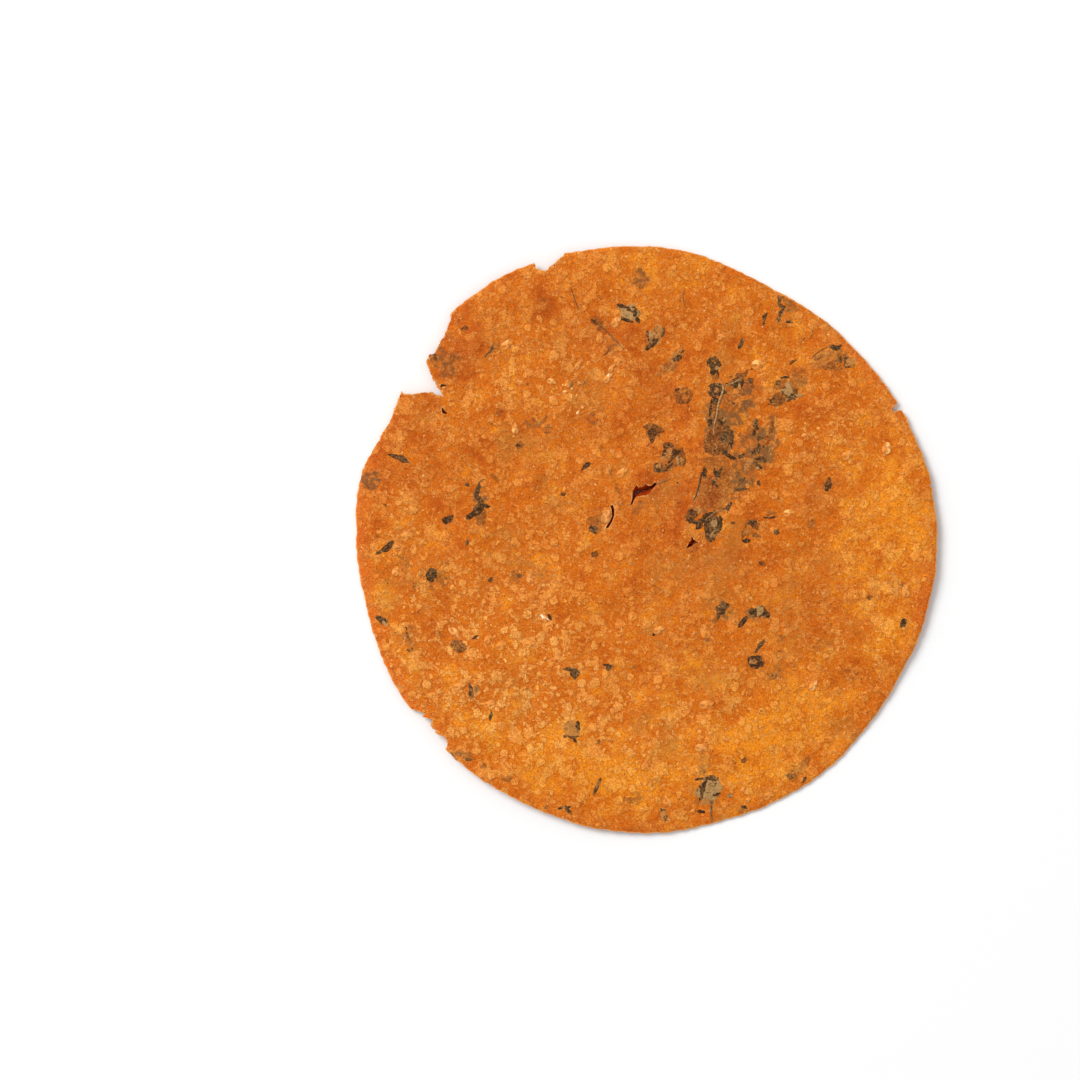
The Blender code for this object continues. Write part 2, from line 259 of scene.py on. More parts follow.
@dataclass(frozen=True)
class Roasting:
    """Where the griddle browned the dough more or less, with painted light that brightens the lower right,
    and where leaf under the skin stains it.
    """

    # Darker and redder where positive, paler and more golden where negative. The golden patches towards the
    # lower right are partly painted light.
    tones: tuple[Patch, ...] = each(
        Patch,
        (4, 65, 56, 14, 0, -0.45), (60, 7, 44, 20, 90, -0.75), (59, -23, 16, 11, 70, -0.6),
        (-27, -50, 40, 20, -25, -0.5), (-6, -59, 18, 12, 0, -0.5), (-33, -24, 18, 12, 15, -0.4),
        (-21, 34, 14, 9, 0, -0.25), (-37, 12, 20, 12, 0, -0.2), (28, -12, 14, 9, 0, -0.2),
        (33, -40, 20, 12, 10, -0.3), (27, -53, 18, 16, 0, -0.35), (-62, -14, 26, 9, 95, -0.35),
        (-15, -11, 14, 11, 30, -0.25), (0, 12, 13, 9, 20, 0.6), (11, 16, 16, 28, 0, 0.4),
        (16, -5, 26, 10, -8, 0.55), (39, -14, 20, 18, 0, 0.4), (38, 9, 12, 14, 0, 0.45),
        (-46, 45, 24, 12, 65, 0.6), (-39, 37, 16, 9, 30, -0.35), (30, -46, 60, 34, 30, -0.3),
        (46, -8, 26, 50, 0, -0.25), (3, 5, 22, 16, 0, 0.35), (-52, 22, 22, 40, -20, 0.25),
        (-30, 23, 9, 7, 0, 0.35), (-9, 49, 20, 13, 10, 0.35), (2, 36, 17, 16, 0, 0.4),
        (-13, 29, 14, 9, 0, 0.3), (44, 12, 9, 7, 0, 0.35), (49, -31, 16, 9, 10, 0.35),
        (4, -13, 20, 16, 0, 0.25), (-25, 56, 12, 8, 30, 0.3), (46, -22, 22, 10, 0, 0.3),
        (2, -52, 70, 26, 0, -0.3), (44, -36, 30, 20, 40, -0.15), (-50, 5, 40, 40, 0, 0.12),
        (-55.5, 5, 12, 10, 0, -0.45), (35, -50, 24, 18, 0, -0.15), (33, 47, 26, 14, -25, -0.35),
        (-62, 18, 9, 7, 60, 0.4),
    )
    # Grey green, where a leaf lies under the skin.
    green_stains: tuple[Patch, ...] = each(
        Patch,
        (-1.4, 63, 5.6, 4.2, 80, 0.35), (17.6, 27, 16, 6.5, 97, 0.95), (22, 31, 16, 7, 60, 0.65),
        (21.5, 17, 17, 11, 80, 0.6), (27.5, 22, 13, 9, 75, 0.7), (15.5, 9.5, 10, 8, 65, 0.55),
        (-66.2, 14.3, 6, 4.5, 30, 0.7), (-50.3, 43.2, 3.6, 2.8, -50, 0.85),
        (-47.6, 41.6, 4.2, 2.6, -60, 0.6), (-46, 43.6, 4, 3, 0, 0.5), (-40, 9.5, 8.5, 4.4, 95, 0.6),
        (-58.2, -4.9, 5.5, 4, 100, 0.45), (-51, -9, 10, 8, 60, 0.4), (-16.4, 37.2, 5.5, 4.5, 0, 0.45),
        (-26, 27.4, 8, 4, -15, 0.4), (-12, 3.6, 4.5, 3.4, 60, 0.5), (-10.5, 5.6, 6, 4, 80, 0.3),
        (-31.8, -9, 4.6, 3.6, 0, 0.5), (-24, -9, 6, 4, 0, 0.35), (18.6, -17, 4.8, 4, 90, 0.7),
        (26.8, -17.6, 7, 4.4, 20, 0.55), (15, -23, 6, 3.6, 70, 0.35), (-57, -23, 6, 3.6, 80, 0.5),
        (-9.2, -30.2, 4.4, 3, 0, 0.4), (13.8, -53.6, 6.5, 3.8, 80, 0.6), (14.6, -60.5, 9, 7, 90, 0.5),
        (-2.8, -62.3, 4.4, 3.2, 0, 0.5), (35.2, -56.4, 4.4, 4, 60, 0.6), (33, 53.5, 8, 5, 40, 0.5),
        (46, 42.6, 8, 5.5, 0, 0.45), (6, 42.2, 6, 3.4, 40, 0.5), (-45.5, -52, 5, 3.5, 20, 0.5),
        (60, -11, 5, 4, 0, 0.35), (-40.5, -36.2, 3, 3.6, 0, 0.45),
    )
    # Brown with a purple cast.
    brown_stains: tuple[Patch, ...] = each(
        Patch,
        (-1.4, 63, 5.6, 4.2, 80, 0.75), (8.5, 34.9, 4.4, 4.2, 0, 0.85), (1.6, 25.6, 4.6, 4, 0, 0.7),
        (31.6, 33.5, 5, 3.6, 20, 0.75), (36.4, 39, 5.5, 5, 0, 0.55), (-11, 51.5, 5, 3.6, 0, 0.55),
        (-9, 46.5, 5, 4, 0, 0.4), (-48.4, 42.4, 9, 6, -60, 0.7), (-66.4, 14.2, 6.5, 5, 30, 0.55),
        (-35.7, 30.6, 3.6, 3, 0, 0.5), (-13, 29, 4.6, 3, 0, 0.45), (22, 33, 16, 10, 70, 0.35),
        (23.5, 20, 14, 12, 80, 0.35), (25, 3, 5, 5, 0, 0.45), (11, -1.5, 3.6, 4.4, 0, 0.45),
        (26, -29.4, 5.6, 4, 0, 0.5), (31, -32.5, 5, 4, 0, 0.45), (49.5, -32.5, 5.5, 4, 0, 0.35),
        (43.6, 13.2, 3.6, 3.4, 0, 0.45), (-48, 4.8, 3.6, 3, 0, 0.5), (-25, 56.5, 5, 3.4, 0, 0.3),
        (22.8, -19.8, 4, 3.4, 0, 0.4), (40, 21, 5, 4, 0, 0.3), (30.2, 28.2, 4.4, 3.6, 70, 0.6),
    )
    rim_tones: tuple[RimTone, ...] = each(
        RimTone,
        (138, 9, 0.45), (180, 20, 0.85), (216, 14, 0.75), (262, 18, 0.3), (312, 14, 0.5), (346, 9, 0.9),
        (28, 12, 0.5), (40, 7, 0.7),
    )
    # Darker towards the top and paler towards the bottom, partly the roast and partly painted light.
    slope: float = 0.12
    tone_fade: float = 1.2
    stain_edge: tuple[float, float] = (0.55, 1.35)
    least_rim: float = 0.08
    # Where its blisters are plain to see.
    blistered: tuple[Patch, ...] = each(
        Patch,
        (-36, -32, 60, 44, -30, 1), (-4, -46, 50, 24, 0, 0.6), (-58, 8, 40, 16, 90, 0.5),
        (-36, 38, 34, 20, 30, 0.6), (-12, 43, 26, 16, 0, 0.7), (42, 26, 30, 20, -40, 0.5),
        (56, -12, 26, 14, 90, 0.5), (20, -40, 26, 14, 0, 0.35),
    )
    least_blistered: float = 0.58
    blister_fade: float = 0.9

    def blistering(self, x: np.ndarray, y: np.ndarray) -> np.ndarray:
        """How plain the blisters are at places in metres, up to 1.

        Args:
            x: Places across, in metres.
            y: Places along, in metres.

        Returns:
            One value for each place.
        """
        most = np.zeros(len(x))
        for patch in self.blistered:
            share = np.exp(-self.blister_fade * patch.reach(x / MM, y / MM) ** 2)
            most = np.maximum(most, patch.strength * share)
        return self.least_blistered + (1.0 - self.least_blistered) * most

    def rim_share(self, x: np.ndarray, y: np.ndarray) -> np.ndarray:
        """How red the rim is in the direction of places in metres, from 0 to 1.

        Args:
            x: Places across, in metres.
            y: Places along, in metres.

        Returns:
            One value for each place.
        """
        degrees = np.degrees(np.arctan2(y, x))
        share = np.full(len(x), self.least_rim)
        for tone in self.rim_tones:
            turn = (degrees - tone.direction + 180.0) % 360.0 - 180.0
            share = np.maximum(share, tone.strength * np.exp(-0.5 * (turn / tone.spread) ** 2))
        return share

    def tone(self, x: np.ndarray, y: np.ndarray) -> np.ndarray:
        """Roast at places in metres: 0.5 is the common orange, 0 golden and 1 dark red brown.

        Args:
            x: Places across, in metres.
            y: Places along, in metres.

        Returns:
            One value for each place.
        """
        total = self.slope * y / FORM.base_radius
        for patch in self.tones:
            total = total + patch.strength * np.exp(-self.tone_fade * patch.reach(x / MM, y / MM) ** 2)
        return np.clip(0.5 + 0.5 * total, 0.0, 1.0)

    def stain(self, patches: tuple[Patch, ...], x: np.ndarray, y: np.ndarray) -> np.ndarray:
        """Strength of the strongest stain at places in metres, fading over each stain's edge.

        Args:
            patches: The stains.
            x: Places across, in metres.
            y: Places along, in metres.

        Returns:
            One value for each place.
        """
        strongest = np.zeros(len(x))
        for patch in patches:
            fade = 1.0 - soft_step(*self.stain_edge, patch.reach(x / MM, y / MM))
            strongest = np.maximum(strongest, patch.strength * fade)
        return strongest


ROASTING = Roasting()


@dataclass(frozen=True)
class Wires:
    """Adds nodes to one node tree, of a material, a shader group or a geometry group, and joins them."""

    tree: bpy.types.NodeTree

    def node(self, kind: str, **settings: object) -> bpy.types.Node:
        """A new node of a kind, with its settings.

        Args:
            kind: Blender's name of the kind.
            **settings: Values by name.

        Returns:
            The node.
        """
        made = self.tree.nodes.new(kind)
        for name, value in settings.items():
            setattr(made, name, value)
        return made

    def feed(self, socket: Socket, value: object) -> None:
        """Join an output to an input, or set the input to a constant.

        Args:
            socket: The input.
            value: The output or the constant.
        """
        if isinstance(value, bpy.types.NodeSocket):
            self.tree.links.new(value, socket)
        else:
            socket.default_value = value

    def maths(self, operation: str, first: object, second: object = 0.0, clamp: bool = False) -> Socket:
        """A Math node.

        Args:
            operation: Blender's name of the operation.
            first: Its first value.
            second: Its second value, where it has one.
            clamp: Whether the result is kept from 0 to 1.

        Returns:
            The result.
        """
        made = self.node("ShaderNodeMath", operation=operation, use_clamp=clamp)
        self.feed(made.inputs[0], first)
        self.feed(made.inputs[1], second)
        return made.outputs[0]

    def plus(self, first: object, second: object, clamp: bool = False) -> Socket:
        """Two values added."""
        return self.maths("ADD", first, second, clamp)

    def minus(self, first: object, second: object) -> Socket:
        """The second value taken from the first."""
        return self.maths("SUBTRACT", first, second)

    def times(self, first: object, second: object, clamp: bool = False) -> Socket:
        """Two values multiplied."""
        return self.maths("MULTIPLY", first, second, clamp)

    def vector(self, operation: str, first: object, second: object) -> Socket:
        """A Vector Math node of two vectors, or of a vector and a factor for SCALE.

        Args:
            operation: Blender's name of the operation.
            first: The first vector.
            second: The second, or the factor.

        Returns:
            The result.
        """
        made = self.node("ShaderNodeVectorMath", operation=operation)
        self.feed(made.inputs[0], first)
        self.feed(made.inputs["Scale" if operation == "SCALE" else 1], second)
        return made.outputs[0]

    def ease(self, value: object, low: float, high: float, start: float = 0.0, end: float = 1.0) -> Socket:
        """Smooth change from start where the value is low to end where it is high.

        Args:
            value: The value.
            low: Where the change starts.
            high: Where it ends.
            start: Result at low and beyond it.
            end: Result at high and beyond it.

        Returns:
            The result.
        """
        made = self.node("ShaderNodeMapRange", interpolation_type="SMOOTHSTEP", clamp=True)
        names = ("Value", "From Min", "From Max", "To Min", "To Max")
        for name, number in zip(names, (value, low, high, start, end)):
            self.feed(made.inputs[name], number)
        return made.outputs[0]

    def blend(self, share: object, first: object, second: object, mode: str = "MIX") -> Socket:
        """Mix of two colours, the second by its share.

        Args:
            share: How much of the second.
            first: The first colour.
            second: The second colour.
            mode: Blender's name of the way to mix.

        Returns:
            The colour.
        """
        made = self.node("ShaderNodeMix", data_type="RGBA", blend_type=mode)
        self.feed(made.inputs[0], share)
        self.feed(made.inputs[6], first)
        self.feed(made.inputs[7], second)
        return made.outputs[2]

    def noise(
        self,
        place: Socket,
        length: float,
        detail: float = 2.0,
        roughness: float = 0.5,
        colour: bool = False,
    ) -> Socket:
        """Noise with bumps about one length apart, in millimetres.

        Args:
            place: Where it is read, in millimetres.
            length: Distance between bumps.
            detail: How many finer layers it has.
            roughness: How strong each finer layer is beside the one before it.
            colour: Whether to give three values, as a colour, and not one.

        Returns:
            The noise, from 0 to 1.
        """
        made = self.node("ShaderNodeTexNoise")
        self.feed(made.inputs["Vector"], place)
        self.feed(made.inputs["Scale"], 1.0 / length)
        self.feed(made.inputs["Detail"], detail)
        self.feed(made.inputs["Roughness"], roughness)
        return made.outputs["Color" if colour else 0]

    def swing(self, value: Socket, reach: float) -> Socket:
        """A value around 0.5, such as noise, made to swing around 0 by a reach."""
        return self.times(self.minus(value, 0.5), reach)

    def thread(self, value: Socket, width: float) -> Socket:
        """Thin winding lines where noise crosses 0.5, wider where the width is more."""
        away = self.maths("ABSOLUTE", self.minus(value, 0.5))
        return self.ease(away, width, width * 0.3)

    def tint(self, colour: Socket, value: Socket, reach: float) -> Socket:
        """A colour made lighter and yellower where a noise is high, deeper and redder where it is low.

        Args:
            colour: The colour.
            value: The noise.
            reach: How strong the change is.

        Returns:
            The colour.
        """
        made = self.node("ShaderNodeCombineColor")
        for inlet, power in zip(made.inputs[:3], (1.0, 1.9, 3.4)):
            self.feed(inlet, self.ease(value, 0.3, 0.7, 1.0 - reach * power, 1.0 + reach * power))
        return self.blend(1.0, colour, made.outputs[0], mode="MULTIPLY")

    def cells(self, place: Socket, length: float) -> tuple[Socket, Socket]:
        """Scattered points about one length apart: distance to the nearest, and its own chance value.

        Args:
            place: Where they are read, in millimetres.
            length: Distance between points.

        Returns:
            The distance, and the chance value.
        """
        made = self.node("ShaderNodeTexVoronoi")
        self.feed(made.inputs["Vector"], place)
        self.feed(made.inputs["Scale"], 1.0 / length)
        chance = self.node("ShaderNodeSeparateXYZ")
        self.feed(chance.inputs[0], made.outputs["Color"])
        return made.outputs["Distance"], chance.outputs[0]


@dataclass(frozen=True)
class BlisterLayer:
    """One size of the round blisters and grains of the dough, all in millimetres or shares."""

    spacing: float
    edge: float
    softness: float
    amount: float
    height: float
    weight: float
    shift: float
    ring: float = 0.08

    def lay(self, wires: Wires, place: Socket) -> tuple[Socket, Socket]:
        """Caps of this layer, and the thin ring where each sinks into the dough round it, which carries
        painted shade.

        Args:
            wires: The tree to lay them in.
            place: Where they are read, in millimetres.

        Returns:
            A mask that is 1 on a blister and 0 between them, and one that is 1 on its ring.
        """
        shifted = wires.vector("ADD", place, (self.shift, -self.shift, self.shift))
        reach, chance = wires.cells(shifted, self.spacing)
        cap = wires.ease(reach, self.edge + self.softness, self.edge - self.softness)
        outer = self.edge + self.ring
        wide = wires.ease(reach, outer + self.softness, outer - self.softness)
        chosen = wires.ease(chance, 1.0 - self.amount - 0.08, 1.0 - self.amount + 0.08)
        ring = wires.times(wires.minus(wide, cap), chosen)
        return wires.times(cap, chosen), ring


@dataclass(frozen=True)
class BlotchLayer:
    """One size of the ragged pale blotches of the dough, all in millimetres or shares."""

    spacing: float
    detail: float
    roughness: float
    low: float
    high: float
    height: float
    weight: float
    shift: float
    line: float = 0.02

    def lay(self, wires: Wires, place: Socket) -> tuple[Socket, Socket]:
        """Blotches of this layer, and the thin line along the edge of each, which carries painted shade.

        Args:
            wires: The tree to lay them in.
            place: Where they are read, in millimetres.

        Returns:
            A mask that is 1 on a blotch and 0 between them, and one that is 1 on its edge line.
        """
        shifted = wires.vector("ADD", place, (self.shift, self.shift, -self.shift))
        swell = wires.noise(shifted, self.spacing, self.detail, self.roughness)
        patch = wires.ease(swell, self.low, self.high)
        line = wires.minus(wires.ease(swell, self.low - self.line, self.high - self.line), patch)
        return patch, line


@dataclass(frozen=True)
class DoughPattern:
    """The mottling of the roasted dough, laid alike in a material for colour and in a mesh for relief."""

    warp_length: float = 1.3
    warp_reach: float = 1.9
    under_shift: float = 40.0
    layers: tuple[BlotchLayer | BlisterLayer, ...] = (
        BlotchLayer(4.4, 4.0, 0.62, 0.55, 0.57, 0.08, 0.60, 5.0),
        BlotchLayer(1.5, 3.0, 0.60, 0.555, 0.58, 0.05, 0.50, 33.0),
        BlisterLayer(3.1, 0.36, 0.03, 0.26, 0.09, 0.85, 0.0),
        BlisterLayer(1.6, 0.36, 0.045, 0.32, 0.06, 0.85, 13.0, 0.12),
    )

    def places(self, wires: Wires, metres: Socket, under: Socket) -> tuple[Socket, Socket, Socket]:
        """Pattern places from a point of the bread.

        Args:
            wires: The tree to work in.
            metres: The point, in metres.
            under: 0 on the top and 1 on the underside, which has blisters of its own.

        Returns:
            The flat place that blisters follow and the solid one that grain follows, in millimetres, and
            the noise that warps the flat place.
        """
        solid = wires.vector("SCALE", metres, 1.0 / MM)
        split = wires.node("ShaderNodeSeparateXYZ")
        wires.feed(split.inputs[0], solid)
        flat = wires.node("ShaderNodeCombineXYZ")
        wires.feed(flat.inputs[0], split.outputs[0])
        wires.feed(flat.inputs[1], split.outputs[1])
        wires.feed(flat.inputs[2], wires.times(under, self.under_shift))
        swirl = wires.noise(flat.outputs[0], self.warp_length, 3.0, 0.6, colour=True)
        shake = wires.vector("SUBTRACT", swirl, (0.5, 0.5, 0.5))
        shake = wires.vector("SCALE", shake, self.warp_reach)
        return wires.vector("ADD", flat.outputs[0], shake), solid, swirl

    def blisters(self, wires: Wires, flat: Socket) -> tuple[Socket, Socket, Socket]:
        """All layers together.

        Args:
            wires: The tree to lay them in.
            flat: The flat place, in millimetres.

        Returns:
            How pale the dough is, from 0 to 1, how much painted crease shade lies on a blister's outline,
            from 0 to 1, and how far it stands up, in millimetres.
        """
        bare = 1.0
        height = 0.0
        outline = 0.0
        for layer in self.layers:
            cap, ring = layer.lay(wires, flat)
            left = wires.minus(1.0, wires.times(cap, layer.weight))
            bare = wires.times(bare, left)
            height = wires.plus(height, wires.times(cap, layer.height))
            outline = wires.maths("MAXIMUM", outline, wires.times(ring, left))
        return wires.minus(1.0, bare), outline, height

    def relief_group(self) -> bpy.types.NodeTree:
        """Geometry group that lifts a mesh by the blisters, by its point attributes relief and under.

        Returns:
            The group.
        """
        group = bpy.data.node_groups.new("dough_relief", "GeometryNodeTree")
        group.interface.new_socket("Mesh", in_out="INPUT", socket_type="NodeSocketGeometry")
        group.interface.new_socket("Mesh", in_out="OUTPUT", socket_type="NodeSocketGeometry")
        wires = Wires(group)
        inlet = wires.node("NodeGroupInput")
        outlet = wires.node("NodeGroupOutput")
        point = wires.node("GeometryNodeInputPosition").outputs[0]
        shares = []
        for name in ("relief", "under"):
            reader = wires.node("GeometryNodeInputNamedAttribute", data_type="FLOAT")
            reader.inputs["Name"].default_value = name
            shares.append(reader.outputs["Attribute"])
        flat, _solid, _swirl = self.places(wires, point, shares[1])
        _pale, _outline, height = self.blisters(wires, flat)
        rise = wires.times(wires.times(height, shares[0]), MM)
        offset = wires.node("ShaderNodeCombineXYZ")
        wires.feed(offset.inputs[2], rise)
        mover = wires.node("GeometryNodeSetPosition")
        wires.feed(mover.inputs["Geometry"], inlet.outputs[0])
        wires.feed(mover.inputs["Offset"], offset.outputs[0])
        wires.feed(outlet.inputs[0], mover.outputs[0])
        return group


PATTERN = DoughPattern()


@dataclass(frozen=True)
class ShaderGroup:
    """A shader node group in the making: its name, and its sockets by name and kind."""

    name: str
    inlets: dict[str, str]
    outlets: dict[str, str]

    def start(self) -> tuple[bpy.types.NodeTree, Wires, bpy.types.Node, bpy.types.Node]:
        """The empty group.

        Returns:
            The group, its wires, and its input and output nodes.
        """
        group = bpy.data.node_groups.new(self.name, "ShaderNodeTree")
        for side, sockets in (("INPUT", self.inlets), ("OUTPUT", self.outlets)):
            for name, kind in sockets.items():
                group.interface.new_socket(name, in_out=side, socket_type="NodeSocket" + kind)
        wires = Wires(group)
        return group, wires, wires.node("NodeGroupInput"), wires.node("NodeGroupOutput")


@dataclass(frozen=True)
class DoughSkin:
    """The shared look of the roasted dough: one group for its pattern and one for its colours."""

    golden: Colour = (0.84, 0.255, 0.0090, 1.0)
    common: Colour = (0.62, 0.142, 0.0060, 1.0)
    toasted: Colour = (0.45, 0.079, 0.0050, 1.0)
    pale_golden: Colour = (0.99, 0.435, 0.074, 1.0)
    pale_common: Colour = (0.93, 0.355, 0.062, 1.0)
    pale_toasted: Colour = (0.72, 0.205, 0.031, 1.0)
    # Dark web lines of the dough, and also the painted crease shade round blisters and blotches.
    web: Colour = (0.44, 0.085, 0.008, 1.0)
    # Pale flecks and curls of the skin; the flecks are partly painted glints on raised grain.
    fleck: Colour = (0.97, 0.52, 0.19, 1.0)
    # Painted shade in tiny pits and hairline cracks.
    pit: Colour = (0.11, 0.020, 0.004, 1.0)
    herb: Colour = (0.12, 0.055, 0.018, 1.0)
    olive: Colour = (0.43, 0.165, 0.026, 1.0)
    rim_red: Colour = (0.76, 0.150, 0.020, 1.0)
    cream: Colour = (0.98, 0.480, 0.120, 1.0)
    crumb: Colour = (0.90, 0.42, 0.12, 1.0)
    # Painted shade inside the cracks, in dark red.
    deep: Colour = (0.33, 0.030, 0.0015, 1.0)

    masks: tuple[str, ...] = (
        "Pale", "Web", "Curl", "Crack", "Grain", "Fleck", "Pit", "Herb", "Hue", "Olive",
    )
    values: tuple[str, ...] = ("Roast", "Plain", "Rim", "Crumb", "Deep")

    def pattern_group(self) -> bpy.types.NodeTree:
        """Masks and height of the dough at a point.

        Returns:
            The group.
        """
        inlets = {"Point": "Vector", "Under": "Float"}
        outlets = {name: "Float" for name in (*self.masks, "Height")}
        group, wires, inlet, outlet = ShaderGroup("dough_pattern", inlets, outlets).start()
        flat, solid, swirl = PATTERN.places(wires, inlet.outputs["Point"], inlet.outputs["Under"])
        chances = wires.node("ShaderNodeSeparateXYZ")
        wires.feed(chances.inputs[0], swirl)
        pale, outline, height = PATTERN.blisters(wires, flat)
        grain = wires.noise(solid, 0.36, 3.0, 0.7)
        crumble = wires.noise(solid, 0.95, 3.0, 0.6)
        hue = wires.noise(solid, 5.5, 3.0, 0.6)
        made = {
            "Pale": wires.plus(pale, wires.swing(crumble, 0.7), clamp=True),
            # Painted crease shade round blisters and blotches, with the dough's own dark web lines.
            "Web": wires.maths("MAXIMUM", outline, wires.thread(chances.outputs[0], 0.02)),
            "Curl": wires.times(wires.thread(chances.outputs[1], 0.016), wires.ease(hue, 0.42, 0.52)),
            # Painted shade along sunk hairline cracks.
            "Crack": wires.times(wires.thread(chances.outputs[2], 0.009), wires.ease(crumble, 0.5, 0.42)),
            "Grain": grain,
            # Pale flecks on raised grain, partly painted glints.
            "Fleck": BlisterLayer(1.25, 0.16, 0.05, 0.22, 0.0, 1.0, 71.0).lay(wires, flat)[0],
            # Painted shade in tiny pits.
            "Pit": BlisterLayer(1.9, 0.10, 0.03, 0.22, 0.0, 1.0, 83.0).lay(wires, flat)[0],
            "Herb": BlisterLayer(4.3, 0.10, 0.05, 0.14, 0.0, 1.0, 97.0).lay(wires, flat)[0],
            "Hue": hue,
            "Olive": wires.ease(wires.noise(solid, 13.0, 3.0, 0.65), 0.54, 0.70),
        }
        lines = wires.plus(made["Curl"], wires.times(made["Crack"], -1.0))
        parts = ((grain, 0.11), (crumble, 0.24), (height, 1.3), (made["Fleck"], 0.06), (lines, 0.06))
        relief = 0.0
        for part, share in parts:
            relief = wires.plus(relief, wires.times(part, share))
        made["Height"] = relief
        for name, value in made.items():
            wires.feed(outlet.inputs[name], value)
        return group

    def colour_group(self) -> bpy.types.NodeTree:
        """Colour of the dough from its masks, its roast and where on the bread it is.

        Returns:
            The group.
        """
        inlets = {name: "Float" for name in (*self.masks, *self.values)}
        group, wires, inlet, outlet = ShaderGroup("dough_colour", inlets, {"Colour": "Color"}).start()
        taken = inlet.outputs
        roast = wires.minus(taken["Roast"], wires.swing(taken["Hue"], 1.7))
        high = wires.ease(roast, 0.5, 1.0)
        low = wires.ease(roast, 0.0, 0.5)
        ground = wires.blend(high, wires.blend(low, self.golden, self.common), self.toasted)
        bright = wires.blend(high, wires.blend(low, self.pale_golden, self.pale_common), self.pale_toasted)
        bright = wires.blend(wires.ease(taken["Plain"], 0.62, 1.0, 0.0, 0.55), bright, self.cream)
        calm = wires.ease(taken["Roast"], 0.50, 0.85, 1.0, 0.6)
        ground = wires.blend(wires.times(taken["Rim"], 0.6), ground, self.rim_red)
        pale = wires.times(taken["Pale"], wires.ease(taken["Rim"], 0.2, 1.0, 1.0, 0.45))
        pale = wires.times(pale, wires.times(calm, taken["Plain"]))
        colour = wires.blend(pale, ground, bright)
        colour = wires.tint(colour, taken["Grain"], 0.21)
        # Among these, the web's rings, the hairline cracks, the pits and the cracks' walls are painted
        # shade, and the flecks are partly painted glints.
        spots = (
            ("Web", self.web, 0.45),
            ("Olive", self.olive, 0.35),
            ("Curl", self.fleck, 0.45),
            ("Crack", self.pit, 0.5),
            ("Fleck", self.fleck, 0.75),
            ("Herb", self.herb, 0.7),
            ("Pit", self.pit, 0.8),
            ("Crumb", self.crumb, 0.75),
            ("Deep", self.deep, 0.97),
        )
        for mask, spot, share in spots:
            colour = wires.blend(wires.times(taken[mask], share), colour, spot)
        wires.feed(outlet.inputs["Colour"], colour)
        return group


SKIN = DoughSkin()


@dataclass(frozen=True)
class Finish:
    """What the finishes of the bread share: their settings, and the dough's pattern and colour groups."""

    pattern: bpy.types.NodeTree
    colours: bpy.types.NodeTree
    name: str = ""
    roughness: float = 0.6
    specular: float = 0.07
    relief: float = 0.8

    def start(self) -> tuple[bpy.types.Material, Wires, bpy.types.Node, Socket]:
        """A new material.

        Returns:
            The material, its wires, its shader, and the place on the bread in metres.
        """
        paint = bpy.data.materials.new(self.name)
        paint.use_nodes = True
        shader = paint.node_tree.nodes["Principled BSDF"]
        shader.inputs["Roughness"].default_value = self.roughness
        shader.inputs["Specular IOR Level"].default_value = self.specular
        wires = Wires(paint.node_tree)
        return paint, wires, shader, wires.node("ShaderNodeTexCoord").outputs["Object"]

    def value(self, wires: Wires, name: str) -> Socket:
        """A point attribute of the mesh."""
        return wires.node("ShaderNodeAttribute", attribute_name=name).outputs["Fac"]

    def dough_nodes(self, wires: Wires, point: Socket) -> tuple[bpy.types.Node, Socket]:
        """The dough's pattern and its colour, in any material.

        Args:
            wires: The material's wires.
            point: The place on the bread, in metres.

        Returns:
            The node of the pattern group, and the colour.
        """
        pattern = wires.node("ShaderNodeGroup", node_tree=self.pattern)
        wires.feed(pattern.inputs["Point"], point)
        wires.feed(pattern.inputs["Under"], self.value(wires, "under"))
        colours = wires.node("ShaderNodeGroup", node_tree=self.colours)
        for name in SKIN.masks:
            wires.feed(colours.inputs[name], pattern.outputs[name])
        for name in SKIN.values:
            wires.feed(colours.inputs[name], self.value(wires, name.lower()))
        return pattern, colours.outputs["Colour"]

    def bump(self, wires: Wires, shader: bpy.types.Node, height: Socket) -> None:
        """Fine relief of a shader.

        Args:
            wires: The material's wires.
            shader: The shader.
            height: The relief, in millimetres.
        """
        made = wires.node("ShaderNodeBump")
        made.inputs["Strength"].default_value = self.relief
        made.inputs["Distance"].default_value = MM
        wires.feed(made.inputs["Height"], height)
        wires.feed(shader.inputs["Normal"], made.outputs["Normal"])


@dataclass(frozen=True)
class DoughFinish(Finish):
    """Roasted wheat dough, stained where leaf lies under its skin."""

    name: str = "roasted_dough"
    stains: tuple[tuple[str, Colour, float], ...] = (
        ("green", (0.20, 0.100, 0.032, 1.0), 0.85),
        ("brown", (0.25, 0.075, 0.020, 1.0), 0.8),
    )
    blot_length: float = 1.3
    blot_swing: float = 2.6

    def paint(self) -> bpy.types.Material:
        """Mix the finish.

        Returns:
            Its material.
        """
        paint, wires, shader, point = self.start()
        pattern, colour = self.dough_nodes(wires, point)
        blot = wires.noise(wires.vector("SCALE", point, 1.0 / MM), self.blot_length, 4.0, 0.65)
        for name, tint, depth in self.stains:
            strength = self.value(wires, name)
            patchy = wires.plus(strength, wires.swing(blot, self.blot_swing))
            mask = wires.times(wires.ease(patchy, 0.25, 0.85), wires.ease(strength, 0.0, 0.25))
            colour = wires.blend(wires.times(mask, depth), colour, tint)
        wires.feed(shader.inputs["Base Color"], colour)
        wires.feed(shader.inputs["Roughness"], wires.ease(pattern.outputs["Grain"], 0.25, 0.75, 0.7, 0.48))
        self.bump(wires, shader, pattern.outputs["Height"])
        return paint


